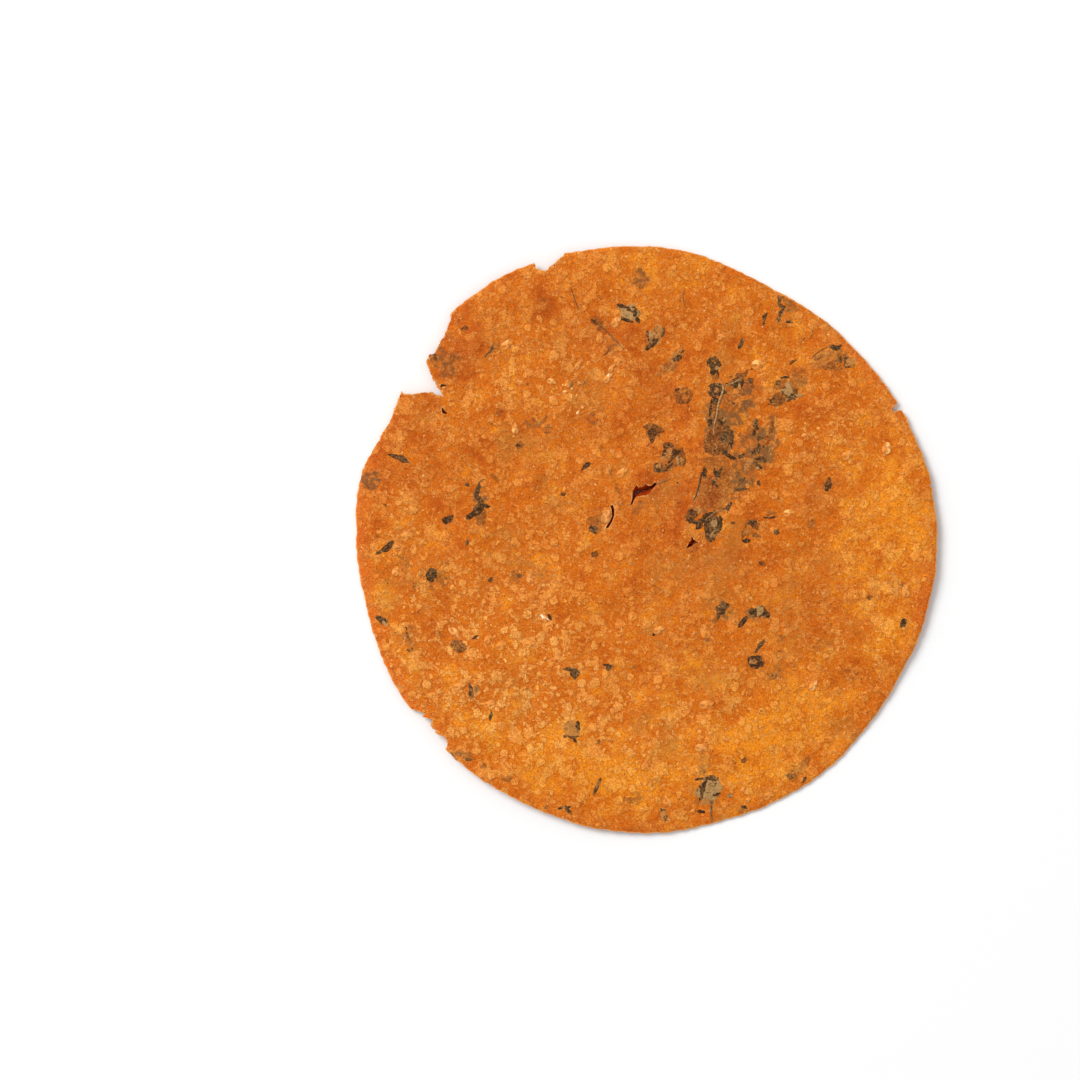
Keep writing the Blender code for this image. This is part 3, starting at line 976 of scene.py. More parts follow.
@dataclass(frozen=True)
class SeedFinish(Finish):
    """Sesame: cream where it is bare, near the dough's colour where a skin of dough covers it, with painted
    shade round its foot where it meets the dough.
    """

    name: str = "sesame_seed"
    roughness: float = 0.55
    specular: float = 0.1
    light_cream: Colour = (0.84, 0.38, 0.105, 1.0)
    deep_cream: Colour = (0.78, 0.30, 0.068, 1.0)
    film: Colour = (0.80, 0.285, 0.048, 1.0)
    film_share: float = 0.8
    bright_cream: Colour = (1.0, 0.50, 0.150, 1.0)
    white: Colour = (0.97, 0.78, 0.55, 1.0)
    # Painted shade round a seed's foot.
    seam: Colour = (0.36, 0.095, 0.012, 1.0)

    def paint(self) -> bpy.types.Material:
        """Mix the finish.

        Returns:
            Its material.
        """
        paint, wires, shader, point = self.start()
        pattern, colour = self.dough_nodes(wires, point)
        mottle = wires.noise(wires.vector("SCALE", point, 1.0 / MM), 0.7, 3.0, 0.6)
        cream = wires.blend(wires.ease(mottle, 0.3, 0.7), self.light_cream, self.deep_cream)
        film = wires.blend(self.film_share, colour, self.film)
        bare = wires.plus(self.value(wires, "bare"), wires.swing(mottle, 0.4))
        base = wires.blend(wires.ease(bare, 0.1, 0.75), film, cream)
        base = wires.blend(wires.ease(bare, 0.82, 0.95), base, self.bright_cream)
        base = wires.blend(wires.ease(bare, 1.1, 1.45), base, self.white)
        base = wires.vector("SCALE", base, wires.ease(bare, -0.6, 0.0, 0.8, 1.0))
        # Painted shade on the seed's lower part, where it meets the dough.
        foot = wires.plus(self.value(wires, "foot"), wires.swing(mottle, 0.7))
        base = wires.blend(wires.ease(foot, 0.5, 0.95, 0.0, 0.6), base, self.seam)
        wires.feed(shader.inputs["Base Color"], base)
        grain = wires.times(pattern.outputs["Grain"], 0.04)
        self.bump(wires, shader, wires.plus(wires.times(mottle, 0.06), grain))
        return paint


@dataclass(frozen=True)
class LeafFinish(Finish):
    """Dried fenugreek leaf: brown grey, ragged and mottled, with the dough showing round and through it."""

    name: str = "fenugreek_leaf"
    specular: float = 0.06
    relief: float = 0.9
    # Each tone where the leaf is cool, and where it is warm.
    dark: tuple[Colour, Colour] = ((0.046, 0.026, 0.012, 1.0), (0.075, 0.026, 0.008, 1.0))
    middle: tuple[Colour, Colour] = ((0.180, 0.088, 0.030, 1.0), (0.230, 0.078, 0.020, 1.0))
    tan: tuple[Colour, Colour] = ((0.48, 0.27, 0.100, 1.0), (0.53, 0.215, 0.048, 1.0))
    broad_length: float = 1.7
    fine_length: float = 0.5

    def paint(self) -> bpy.types.Material:
        """Mix the finish.

        Returns:
            Its material.
        """
        paint, wires, shader, point = self.start()
        pattern, colour = self.dough_nodes(wires, point)
        solid = wires.vector("SCALE", point, 1.0 / MM)
        broad = wires.noise(solid, self.broad_length, 2.0)
        fine = wires.noise(solid, self.fine_length, 4.0, 0.65)
        inside = self.value(wires, "inside")
        film = self.value(wires, "film")
        ragged = wires.plus(wires.swing(broad, 1.6), wires.swing(fine, 2.0))
        held = wires.minus(ragged, wires.times(film, 0.9))
        leaf = wires.ease(wires.plus(inside, held), -0.35, 0.0, 0.2, 1.0)
        leaf = wires.times(leaf, wires.plus(wires.times(film, -1.2), 1.0), clamp=True)
        warmth = self.value(wires, "warmth")
        dark, middle, tan = [wires.blend(warmth, *tones) for tones in (self.dark, self.middle, self.tan)]
        speckle = wires.plus(wires.swing(fine, 3.6), wires.swing(broad, -1.2))
        light = wires.plus(self.value(wires, "light"), speckle)
        light = wires.minus(light, wires.ease(inside, 0.5, 0.0, 0.0, 0.12))
        base = wires.blend(wires.ease(light, 0.0, 0.4), dark, middle)
        base = wires.blend(wires.ease(light, 0.55, 0.95), base, tan)
        wires.feed(shader.inputs["Base Color"], wires.blend(leaf, colour, base))
        wires.feed(shader.inputs["Roughness"], wires.ease(fine, 0.3, 0.7, 0.7, 0.5))
        self.bump(wires, shader, wires.plus(wires.times(fine, 0.14), pattern.outputs["Height"]))
        return paint


@dataclass(frozen=True)
class StalkFinish(Finish):
    """Dried stalk, from straw to brown black, ribbed along its length."""

    name: str = "leaf_stalk"
    roughness: float = 0.55
    specular: float = 0.15
    # Each tone in its hollows, and on its ribs.
    straw: tuple[Colour, Colour] = ((0.26, 0.14, 0.05, 1.0), (0.56, 0.32, 0.12, 1.0))
    black: tuple[Colour, Colour] = ((0.035, 0.018, 0.008, 1.0), (0.15, 0.075, 0.028, 1.0))

    def paint(self) -> bpy.types.Material:
        """Mix the finish.

        Returns:
            Its material.
        """
        paint, wires, shader, point = self.start()
        fleck = wires.noise(wires.vector("SCALE", point, 1.0 / MM), 0.5, 3.0, 0.6)
        rib = wires.ease(fleck, 0.4, 0.6)
        straw, black = [wires.blend(rib, *tones) for tones in (self.straw, self.black)]
        wires.feed(shader.inputs["Base Color"], wires.blend(self.value(wires, "tan"), black, straw))
        self.bump(wires, shader, wires.times(fleck, 0.08))
        return paint


def keep_values(mesh: bpy.types.Mesh, values: dict[str, np.ndarray], domain: str = "POINT") -> None:
    """Store attributes on a mesh by name, one value for each point, or for each corner of its faces.

    Args:
        mesh: The mesh.
        values: The values by name.
        domain: Blender's name of what holds them.
    """
    for name, numbers in values.items():
        layer = mesh.attributes.get(name) or mesh.attributes.new(name, "FLOAT", domain)
        layer.data.foreach_set("value", np.asarray(numbers, dtype=np.float32))


def points_of(mesh: bpy.types.Mesh) -> np.ndarray:
    """The mesh's points, one row each.

    Args:
        mesh: The mesh.

    Returns:
        One row for each point, in metres.
    """
    flat = np.zeros(len(mesh.vertices) * 3, dtype=np.float32)
    mesh.vertices.foreach_get("co", flat)
    return flat.reshape(-1, 3).astype(float)


def hold_down(mesh: bpy.types.Mesh) -> None:
    """Keep a mesh within the height of the bread, and over the surface that it lies on.

    Args:
        mesh: The mesh.
    """
    spots = points_of(mesh)
    spots[:, 2] = np.clip(spots[:, 2], 0.0, CEILING)
    mesh.vertices.foreach_set("co", spots.astype(np.float32).ravel())


def rise_of(edge: bmesh.types.BMEdge) -> float:
    """How far an edge rises from one end to the other."""
    return abs(edge.verts[0].co.z - edge.verts[1].co.z)


def take_mesh(shape: bmesh.types.BMesh, name: str) -> bpy.types.Mesh:
    """Turn a finished shape into a mesh.

    Args:
        shape: The shape, which is freed.
        name: The mesh's name.

    Returns:
        The mesh.
    """
    mesh = bpy.data.meshes.new(name)
    shape.to_mesh(mesh)
    shape.free()
    return mesh


def add_object(name: str, data: bpy.types.ID) -> bpy.types.Object:
    """Put something in the scene, at the origin.

    Args:
        name: Its name.
        data: Its mesh, lens or light.

    Returns:
        The object.
    """
    made = bpy.data.objects.new(name, data)
    bpy.context.scene.collection.objects.link(made)
    return made


def show(name: str, mesh: bpy.types.Mesh, paint: bpy.types.Material) -> bpy.types.Object:
    """Put a finished mesh in the scene as a piece of the bread.

    Args:
        name: The piece's name.
        mesh: Its mesh, in place.
        paint: Its material.

    Returns:
        The piece, riding on the bread's body.
    """
    piece = add_object(name, mesh)
    mesh.materials.clear()
    mesh.materials.append(paint)
    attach(piece, BODY)
    LOG.info("%s: %d points, %d faces", name, len(mesh.vertices), len(mesh.polygons))
    return piece


@dataclass(frozen=True)
class Break:
    """Where the bread is broken through, in millimetres: an outline that runs past the rim or is a hole."""

    name: str
    corners: tuple[Point, ...]
    # Middle line of a crack or hole, which narrows towards it on the way down.
    spine: tuple[Point, ...] = ()

    def way_in(self, x: float, y: float) -> Vector:
        """Way from a place to the nearest point of the spine, in metres.

        Args:
            x: Place across, in metres.
            y: Place along, in metres.

        Returns:
            The way, level.
        """
        here = Vector((x, y, 0.0))
        ways = []
        for start, end in zip(self.spine, self.spine[1:]):
            first = Vector((*start, 0.0)) * MM
            last = Vector((*end, 0.0)) * MM
            share = intersect_point_line(here, first, last)[1]
            ways.append(first.lerp(last, min(1.0, max(0.0, share))) - here)
        return min(ways, key=lambda way: way.length)


@dataclass(frozen=True)
class Breakage:
    """Every chip, tear, crack and hole, as one ragged cutter."""

    depth: float = 8.0 * MM
    step: float = 0.45 * MM
    levels: int = 24
    narrowing: float = 0.92
    crumble: tuple[tuple[float, float], ...] = ((0.42 * MM, 1.5 * MM), (0.22 * MM, 0.6 * MM))
    crack_crumble: float = 0.5
    seed: int = 1
    breaks: tuple[Break, ...] = each(
        Break,
        ("chip", (
            (-46, 56.4), (-46.6, 55.1), (-47.8, 50.3), (-50.8, 44.9), (-52.8, 43.1), (-52.2, 40.7),
            (-50.8, 37.7), (-48.6, 34.4), (-52, 35.3), (-58, 34.9), (-58.9, 35.3), (-61.2, 29.4),
            (-62.8, 26.3), (-66, 21.2), (-68.6, 16.4), (-80, 16), (-80, 60), (-50, 62),
        )),
        ("torn_bite", (
            (-57.9, -39.3), (-57, -40.7), (-55.4, -41), (-53.2, -42), (-53.7, -42.7), (-51.5, -43),
            (-51.8, -44.7), (-50.3, -45.9), (-50.7, -46.5), (-48.3, -47.6), (-47.6, -49), (-48.6, -50.8),
            (-56, -56), (-64, -42),
        )),
        ("right_nick", ((60.4, 33.4), (59, 31.2), (59.7, 30.7), (61.4, 31), (66, 32), (64, 36))),
        ("top_nick", ((-26.6, 65), (-24.2, 64.5), (-23.4, 65.1), (-19.6, 68.6), (-21, 72), (-28, 70))),
        ("long_crack", (
            (-4.1, 7.9), (-3.5, 9.5), (-3.3, 11.7), (-2.5, 12.9), (-1.9, 12.4), (-1.1, 12.6), (-0.2, 13.4),
            (0.5, 12.9), (1, 12.9), (2, 13.8), (2.6, 13.3), (1.6, 12.2), (1, 11.3), (0, 10.5), (-1.1, 10.6),
            (-1.7, 10.4), (-2.3, 10.3), (-2.7, 9.9), (-3.2, 8.7),
        ), (
            (-3.8, 8.4), (-3.1, 10.2), (-2.4, 11.5), (-1, 11.6), (0.2, 12), (1.2, 12.5), (2.2, 13.4),
        )),
        ("seed_crack", (
            (-8.7, 8.1), (-8.4, 7.3), (-8.3, 5.7), (-8.8, 4.4), (-9.6, 3.3), (-9.8, 2.6), (-9.1, 2.8),
            (-8.2, 4.3), (-7.7, 5.8), (-7.7, 7.2), (-8.1, 8.3),
        ), (
            (-8.3, 8), (-8, 7), (-8, 5.7), (-8.5, 4.4), (-9.5, 2.9),
        )),
        ("star_hole", (
            (10.9, 1.1), (11.2, 0), (12.5, -0.7), (11.6, -1.1), (10.9, -1.7), (9.5, -2.2), (10, -0.9),
            (10.6, -0.2),
        ), (
            (11.4, -0.4), (10.9, -0.9), (10.2, -1.6),
        )),
        ("notch_hole", (
            (-49, 31.8), (-48.5, 31), (-47.7, 30.4), (-47.9, 30), (-49, 30.3), (-49.2, 31.1),
        ), (
            (-48.9, 31.2), (-48.5, 30.5),
        )),
        ("edge_nick_high", ((68.6, 13.1), (68.1, 12.7), (68.7, 12.3), (72, 12), (72, 13.6))),
        ("edge_nick_low", ((69, 10.4), (68.5, 10), (69.1, 9.5), (72, 9.3), (72, 10.8))),
        ("pit_by_crack", ((7.1, 13.7), (7.6, 13.9), (7.7, 13.6), (7.3, 13.4))),
        ("pit_by_nick", ((-22.5, 65.9), (-22, 65.9), (-22, 65.4), (-22.4, 65.5))),
    )

    def cutter(self) -> bpy.types.Object:
        """One object that holds every outline, extruded through the bread and roughened.

        Returns:
            The object.
        """
        noise.seed_set(self.seed)
        joined = bmesh.new()
        for place in self.breaks:
            self.add_outline(joined, place)
        return add_object("breakage", take_mesh(joined, "breakage"))

    def add_outline(self, joined: bmesh.types.BMesh, place: Break) -> None:
        """One outline, with a wall that crumbles sideways from level to level, and leans in below a crack.

        Args:
            joined: The mesh to add it to.
            place: The outline.
        """
        shape = bmesh.new()
        corners = [shape.verts.new((x * MM, y * MM, -self.depth / 4.0)) for x, y in place.corners]
        for pair in zip(corners, [*corners[1:], corners[0]]):
            bmesh.ops.contextual_create(shape, geom=list(pair))
        bmesh.ops.contextual_create(shape, geom=list(shape.edges))
        for edge in list(shape.edges):
            cuts = int(edge.calc_length() / self.step)
            if cuts:
                bmesh.ops.subdivide_edges(shape, edges=[edge], cuts=cuts)
        grown = bmesh.ops.extrude_face_region(shape, geom=list(shape.faces), use_keep_orig=True)
        upper = [part for part in grown["geom"] if isinstance(part, bmesh.types.BMVert)]
        bmesh.ops.translate(shape, verts=upper, vec=(0.0, 0.0, self.depth))
        upright = [edge for edge in shape.edges if rise_of(edge) > self.depth / 2.0]
        bmesh.ops.subdivide_edges(shape, edges=upright, cuts=self.levels, use_grid_fill=True)
        for vertex in shape.verts:
            x, y, z = vertex.co
            level = (z - FORM.lift(x, y)) / FORM.thickness(x, y)
            share = 1.0
            if place.spine:
                lean = self.narrowing * (1.0 - min(1.0, max(0.0, level)))
                way = place.way_in(x, y)
                vertex.co += way * lean
                share = min(1.0, self.crack_crumble * way.length * (1.0 - lean) / MM)
            for reach, length in self.crumble:
                push = noise.noise_vector(Vector((x, y, z)) / length) * reach * share
                vertex.co.x += push.x
                vertex.co.y += push.y
        bmesh.ops.triangulate(shape, faces=shape.faces)
        bmesh.ops.recalc_face_normals(shape, faces=shape.faces)
        spare = take_mesh(shape, place.name)
        joined.from_mesh(spare)
        bpy.data.meshes.remove(spare)


@dataclass
class Dough:
    """The round of dough itself, which stands for the whole solid."""

    paint: bpy.types.Material
    seeds: tuple["Seed", ...]
    cells: int = 132
    wall_cuts: int = 2
    # How near its top or underside a point of the unit slab counts as on it.
    slack: float = 0.01
    edge_inset: float = 0.32 * MM
    edge_drop: float = 0.24 * MM
    edge_reach: float = 0.7 * MM
    fray: float = 0.22 * MM
    fray_length: float = 1.3 * MM
    under_curl: float = 0.4
    groove: float = 0.12 * MM
    # The sunken ring round a seed: its middle and width, in reaches of the seed, and where it ends.
    groove_ring: float = 1.15
    groove_width: float = 0.22
    groove_search: float = 6.0
    # Levels of the slab over which it has the top's blisters, and under which it has the underside's.
    top_level: float = 0.6
    low_level: float = 0.25
    relief_band: float = 5.0 * MM
    relief_margin: float = 0.1 * MM
    rim_relief: float = 0.4
    under_relief: float = -0.6
    # Faces whose normal is more level than this are broken walls.
    wall_slope: float = 0.35
    # The painted shade inside a crack, in dark red: normals more level than this, or faces below this
    # level, this near it.
    crack_slope: float = 0.7
    crack_level: float = 0.86
    crack_reach: float = 2.4 * MM
    # Where the red of the rim starts to fade and ends, in millimetres from the rim.
    red_rim: tuple[float, float] = (0.4, 5.0)
    sharp_angle: float = math.radians(52.0)

    def build(self) -> bpy.types.Object:
        """Shape, blister, break and show the dough.

        Returns:
            The finished piece.
        """
        slab = self.unit_slab()
        self.lay_on_form(slab)
        mesh = take_mesh(slab, "dough")
        dough = show("dough", mesh, self.paint)
        self.mark_relief(mesh)
        self.finish_modifiers(dough)
        self.mark_finish(dough.data)
        dough.data.shade_smooth()
        dough.data.set_sharp_from_angle(angle=self.sharp_angle)
        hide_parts(NODE)
        LOG.info("dough: %d faces after breaking", len(dough.data.polygons))
        return dough

    def unit_slab(self) -> bmesh.types.BMesh:
        """A closed slab from -1 to 1 and 0 to 1 high, with twice as fine a grid on its top.

        Returns:
            The slab.
        """
        slab = bmesh.new()
        bmesh.ops.create_grid(slab, x_segments=self.cells, y_segments=self.cells, size=1.0)
        grown = bmesh.ops.extrude_face_region(slab, geom=list(slab.faces), use_keep_orig=True)
        upper = [part for part in grown["geom"] if isinstance(part, bmesh.types.BMVert)]
        bmesh.ops.translate(slab, verts=upper, vec=(0.0, 0.0, 1.0))
        upright = [edge for edge in slab.edges if rise_of(edge) > 0.5]
        bmesh.ops.subdivide_edges(slab, edges=upright, cuts=self.wall_cuts, use_grid_fill=True)
        level = [edge for edge in slab.edges if rise_of(edge) < self.slack]
        raised = [edge for edge in level if min(v.co.z for v in edge.verts) > 0.1]
        bmesh.ops.subdivide_edges(slab, edges=raised, cuts=1, use_grid_fill=True)
        bmesh.ops.recalc_face_normals(slab, faces=slab.faces)
        return slab

    def lay_on_form(self, slab: bmesh.types.BMesh) -> None:
        """Give every point of the slab its place on the bread.

        Args:
            slab: The slab.
        """
        for vertex in slab.verts:
            u, v, level = vertex.co
            x, y = FORM.square_to_round(u, v)
            at_rim = max(abs(u), abs(v)) > 1.0 - 1e-5
            flat = level < self.slack or level > 1.0 - self.slack
            if at_rim:
                reach = math.hypot(x, y)
                rag = self.fray * noise.noise(Vector((x, y, level * MM)) / self.fray_length)
                share = (reach + rag - (self.edge_inset if flat else 0.0)) / reach
                x *= share
                y *= share
            bottom = FORM.lift(x, y)
            body = FORM.thickness(x, y)
            gap = 0.0 if at_rim else FORM.rim_gap(x, y)
            curl = self.edge_drop * math.exp(-gap / self.edge_reach)
            z = bottom + level * body
            if level > 1.0 - self.slack:
                z += self.ring_grooves(x, y) - curl
            elif level < self.slack:
                z += curl * self.under_curl if at_rim else 0.0
            vertex.co = (x, y, z)

    def ring_grooves(self, x: float, y: float) -> float:
        """Depth of the dough that sank round a seed, as a height.

        Args:
            x: Place across, in metres.
            y: Place along, in metres.

        Returns:
            The height, never over 0.
        """
        depth = 0.0
        for seed in self.seeds:
            if abs(x / MM - seed.x) + abs(y / MM - seed.y) > self.groove_search:
                continue
            reach = float(seed.patch().reach(x / MM, y / MM))
            depth -= self.groove * math.exp(-(((reach - self.groove_ring) / self.groove_width) ** 2))
        return depth

    def mark_relief(self, mesh: bpy.types.Mesh) -> None:
        """Say how far each point takes part in the blisters, upwards on top and downwards below.

        Args:
            mesh: The mesh, as a whole round.
        """
        spots = points_of(mesh)
        relief = np.zeros(len(spots))
        under = np.zeros(len(spots))
        for index, (x, y, z) in enumerate(spots):
            level = (z - FORM.lift(x, y)) / FORM.thickness(x, y)
            gap = FORM.rim_gap(x, y)
            inward = min(1.0, gap / self.relief_band)
            if level > self.top_level and gap > self.relief_margin:
                relief[index] = self.rim_relief + (1.0 - self.rim_relief) * inward
            elif level < self.low_level and gap > self.relief_margin:
                relief[index] = self.under_relief * inward
                under[index] = 1.0
        keep_values(mesh, {"relief": relief, "under": under})

    def finish_modifiers(self, dough: bpy.types.Object) -> None:
        """Blister the mesh and break it, and make the result its mesh.

        Args:
            dough: The round.
        """
        blisters = dough.modifiers.new("blisters", "NODES")
        blisters.node_group = PATTERN.relief_group()
        cutter = Breakage().cutter()
        breaks = dough.modifiers.new("breaks", "BOOLEAN")
        breaks.operation = "DIFFERENCE"
        breaks.object = cutter
        breaks.solver = "MANIFOLD"
        view = bpy.context.evaluated_depsgraph_get()
        baked = bpy.data.meshes.new_from_object(dough.evaluated_get(view))
        dough.modifiers.clear()
        dough.data = baked
        bpy.data.objects.remove(cutter, do_unlink=True)

    def mark_finish(self, mesh: bpy.types.Mesh) -> None:
        """Store what the dough's material reads at each point.

        Args:
            mesh: The broken mesh.
        """
        hold_down(mesh)
        spots = points_of(mesh)
        level = np.array([(z - FORM.lift(x, y)) / FORM.thickness(x, y) for x, y, z in spots])
        gap = np.array([FORM.rim_gap(x, y) for x, y, _z in spots]) / MM
        wall = np.zeros(len(spots))
        deep = np.zeros(len(mesh.loops))
        cracks = [place for place in Breakage().breaks if place.spine]
        for face in mesh.polygons:
            if abs(face.normal.z) < self.wall_slope:
                for index in face.vertices:
                    wall[index] = 1.0
            x, y, z = face.center
            depth = (z - FORM.lift(x, y)) / FORM.thickness(x, y)
            # Walls and sunk faces in and round a crack get painted shade.
            if abs(face.normal.z) < self.crack_slope or (face.normal.z > 0.0 and depth < self.crack_level):
                if min(place.way_in(x, y).length for place in cracks) < self.crack_reach:
                    deep[list(face.loop_indices)] = 1.0
        values = spot_values(spots[:, 0], spots[:, 1], level)
        values["rim"] = (1.0 - soft_step(*self.red_rim, gap)) * ROASTING.rim_share(spots[:, 0], spots[:, 1])
        values["crumb"] = wall
        for name, patches in (("green", ROASTING.green_stains), ("brown", ROASTING.brown_stains)):
            above = ROASTING.stain(patches, spots[:, 0], spots[:, 1])
            # The underside has the same stains, turned a quarter.
            below = ROASTING.stain(patches, -spots[:, 1], spots[:, 0])
            values[name] = np.where(level > 0.5, above, below)
        keep_values(mesh, values)
        keep_values(mesh, {"deep": deep}, "CORNER")


def spot_values(x: np.ndarray, y: np.ndarray, level: np.ndarray) -> dict[str, np.ndarray]:
    """What every dough skin reads at places in metres, with level 1 at the dough's top and 0 underneath."""
    under = (level < 0.35) * 1.0
    return {"roast": ROASTING.tone(x, y), "plain": ROASTING.blistering(x, y), "under": under}


@dataclass
class Surface:
    """The finished top of the dough, to lay things on."""

    dough: bpy.types.Object
    search_height: float = 20.0 * MM
    seat_points: int = 10
    # The least upward share of a normal that still counts as the top.
    upward: float = 0.5
    tree: BVHTree = field(init=False)

    def __post_init__(self) -> None:
        """Prepare the search tree."""
        shape = bmesh.new()
        shape.from_mesh(self.dough.data)
        self.tree = BVHTree.FromBMesh(shape)
        shape.free()

    def top(self, x: float, y: float) -> tuple[float, Vector]:
        """Height and slope of the top at a place.

        Args:
            x: Place across, in metres.
            y: Place along, in metres.

        Returns:
            The height, and the upward normal.
        """
        start = Vector((x, y, self.search_height))
        point, normal, _face, _reach = self.tree.ray_cast(start, Vector((0.0, 0.0, -1.0)))
        if point is None or normal.z < self.upward:
            return FORM.lift(x, y) + FORM.thickness(x, y), Vector((0.0, 0.0, 1.0))
        return point.z, normal

    def seat(self, x: float, y: float, reach: float) -> tuple[float, Vector]:
        """Mean height and slope of the top round a place, which small blisters don't sway.

        Args:
            x: Place across, in metres.
            y: Place along, in metres.
            reach: How far round the place to look, in metres.

        Returns:
            The mean height, and the upward normal of the mean slope.
        """
        total = 0.0
        slope = Vector((0.0, 0.0))
        for step in range(self.seat_points):
            angle = math.tau * step / self.seat_points
            way = Vector((math.cos(angle), math.sin(angle)))
            height = self.top(x + way.x * reach, y + way.y * reach)[0]
            total += height
            slope += way * height
        slope *= 2.0 / (self.seat_points * reach)
        return total / self.seat_points, Vector((-slope.x, -slope.y, 1.0)).normalized()


@dataclass(frozen=True)
class Seed:
    """A sesame seed: place, length and width in millimetres, heading in degrees, how much of it is bare."""

    x: float
    y: float
    length: float
    width: float
    heading: float
    bare: float = 0.15

    def patch(self) -> Patch:
        """The oval that the seed covers."""
        return Patch(self.x, self.y, self.length, self.width, self.heading, 1.0)


SEEDS = each(
    Seed,
    (-9.7, 5.5, 3.7, 2.5, 68, 0.8), (-7.3, 52.2, 3.2, 2.3, 48, 0.5), (26.9, 42.1, 3.8, 2.8, 20, -0.35),
    (57.7, 21.9, 3.1, 2.7, 80, 1), (-33.5, 46.8, 3.4, 2.3, 38, 0), (-31.5, 26.6, 2.8, 2, 95, 0.6),
    (-31.9, 24.8, 0.8, 0.6, 20, 0.9), (-5.8, 16.1, 3.4, 2.1, 40, 0.25), (-44.9, -35.2, 3.4, 2.1, 20, 0.3),
    (-28, -9.4, 2.4, 1.9, 110, 0.3), (-60.1, -1.7, 2, 1.3, 0, 0.7), (-57.7, 0.8, 2.8, 2.5, 30, 0),
    (-60.2, -7.6, 2.5, 2.2, 75, 0.3), (-46, -22.4, 3.5, 2.1, -42, 0.5), (-47.2, -21.5, 1, 0.8, 0, 0.9),
    (3, -21.7, 3.1, 2, 25, 0.5), (14.1, -22.1, 3.7, 2.8, 108, -0.1), (34.2, 6.4, 3.2, 2, 15, 0),
    (40.1, -35.1, 2.9, 2, 58, 1), (13.2, -1.5, 1.1, 0.6, 20, 0.4), (10.2, 1.3, 0.8, 0.5, 60, 0.4),
    (9.1, 0.5, 0.7, 0.4, 80, 0.4), (13.1, -50, 3.1, 2.2, 5, 0.5), (62.3, -12.4, 3.2, 2.4, 95, 0.45),
    (-24.9, -19, 2.8, 1.7, -37, 0.1), (-24.2, -18.7, 2.2, 0.9, -37, 1.4), (-9.2, 38.8, 3.3, 1.8, 50, 0.6),
    (48.4, 20.3, 3.5, 2.4, 30, 0.2), (-33.5, -11.1, 1.6, 1.3, 0, 0), (-29.6, -12.1, 1.8, 1.4, 30, 0),
    (-26.8, -16.1, 1.8, 1.5, 0, 0), (-28, -25.1, 3, 1.9, 20, 0), (-34.8, -25.4, 3, 2.4, 40, 0),
    (-38, -23.9, 2.6, 1.9, 60, 0), (-4.7, -24.8, 1.2, 1.1, 0, 0.2), (-33, -34.7, 2.3, 1.7, 20, 0),
    (-20, -38.9, 1.9, 1.5, -20, 0.1), (-25.8, -43.3, 2, 1.4, -20, 0.1), (-33, -39.6, 1.3, 1.2, 0, 0),
    (-37.8, -39.5, 3, 1.7, 15, 0), (-6.4, -42.8, 2.6, 2, -50, 0), (-4.9, -50, 1.5, 1.2, 0, 0.1),
    (-16.4, 41.9, 2.8, 1.5, 60, 0.45), (-25.6, 52.9, 2.3, 1.4, -60, 0.1), (-11.2, 48.4, 2.6, 2, 80, 0),
    (-6.8, 42.8, 2.4, 1.9, 40, 0), (-30.1, 37.6, 1.7, 1.3, 0, 0), (-8.3, 41.2, 2.6, 1.4, 55, 0.6),
    (23.3, -60.1, 1.7, 1.2, 70, 0.4), (24.6, -62.6, 1.6, 1.3, 30, 0.3), (11.3, -65.2, 1.4, 1.2, 60, 0.3),
    (9.1, -66, 0.9, 0.8, 0, 0.5), (5.2, -63.2, 2.6, 2.1, -40, 0.1), (18, 48.7, 2.4, 1.8, 10, 0.3),
    (29.5, -61.6, 3, 2.2, 20, 0), (14.4, -39.6, 3.8, 2.4, 15, 0), (-22.7, 37.9, 2.6, 1.7, -15, 0.5),
    (-20, 37.1, 0.7, 0.6, 0, 0.9), (-19.3, 37, 0.8, 0.6, 40, 0.9), (-17.9, 36.2, 0.8, 0.7, 0, 1.1),
    (-19.5, 35.4, 1.5, 1.1, 20, 0.6), (-18.1, 34.3, 1.2, 1, 80, 1), (-16.7, 34.5, 1.3, 0.7, 60, 0.4),
    (-16.1, 37.5, 1.2, 1, 0, 0.4), (-15.2, 31.7, 1.1, 0.8, 50, 0.7), (-16.4, 30.5, 1.4, 0.9, 70, 0.9),
    (-23, 34.1, 0.6, 0.6, 0, 1.3), (-49.7, 37.1, 0.8, 0.5, -40, 0.8), (-48.6, 36.5, 0.9, 0.6, 20, 0.7),
)


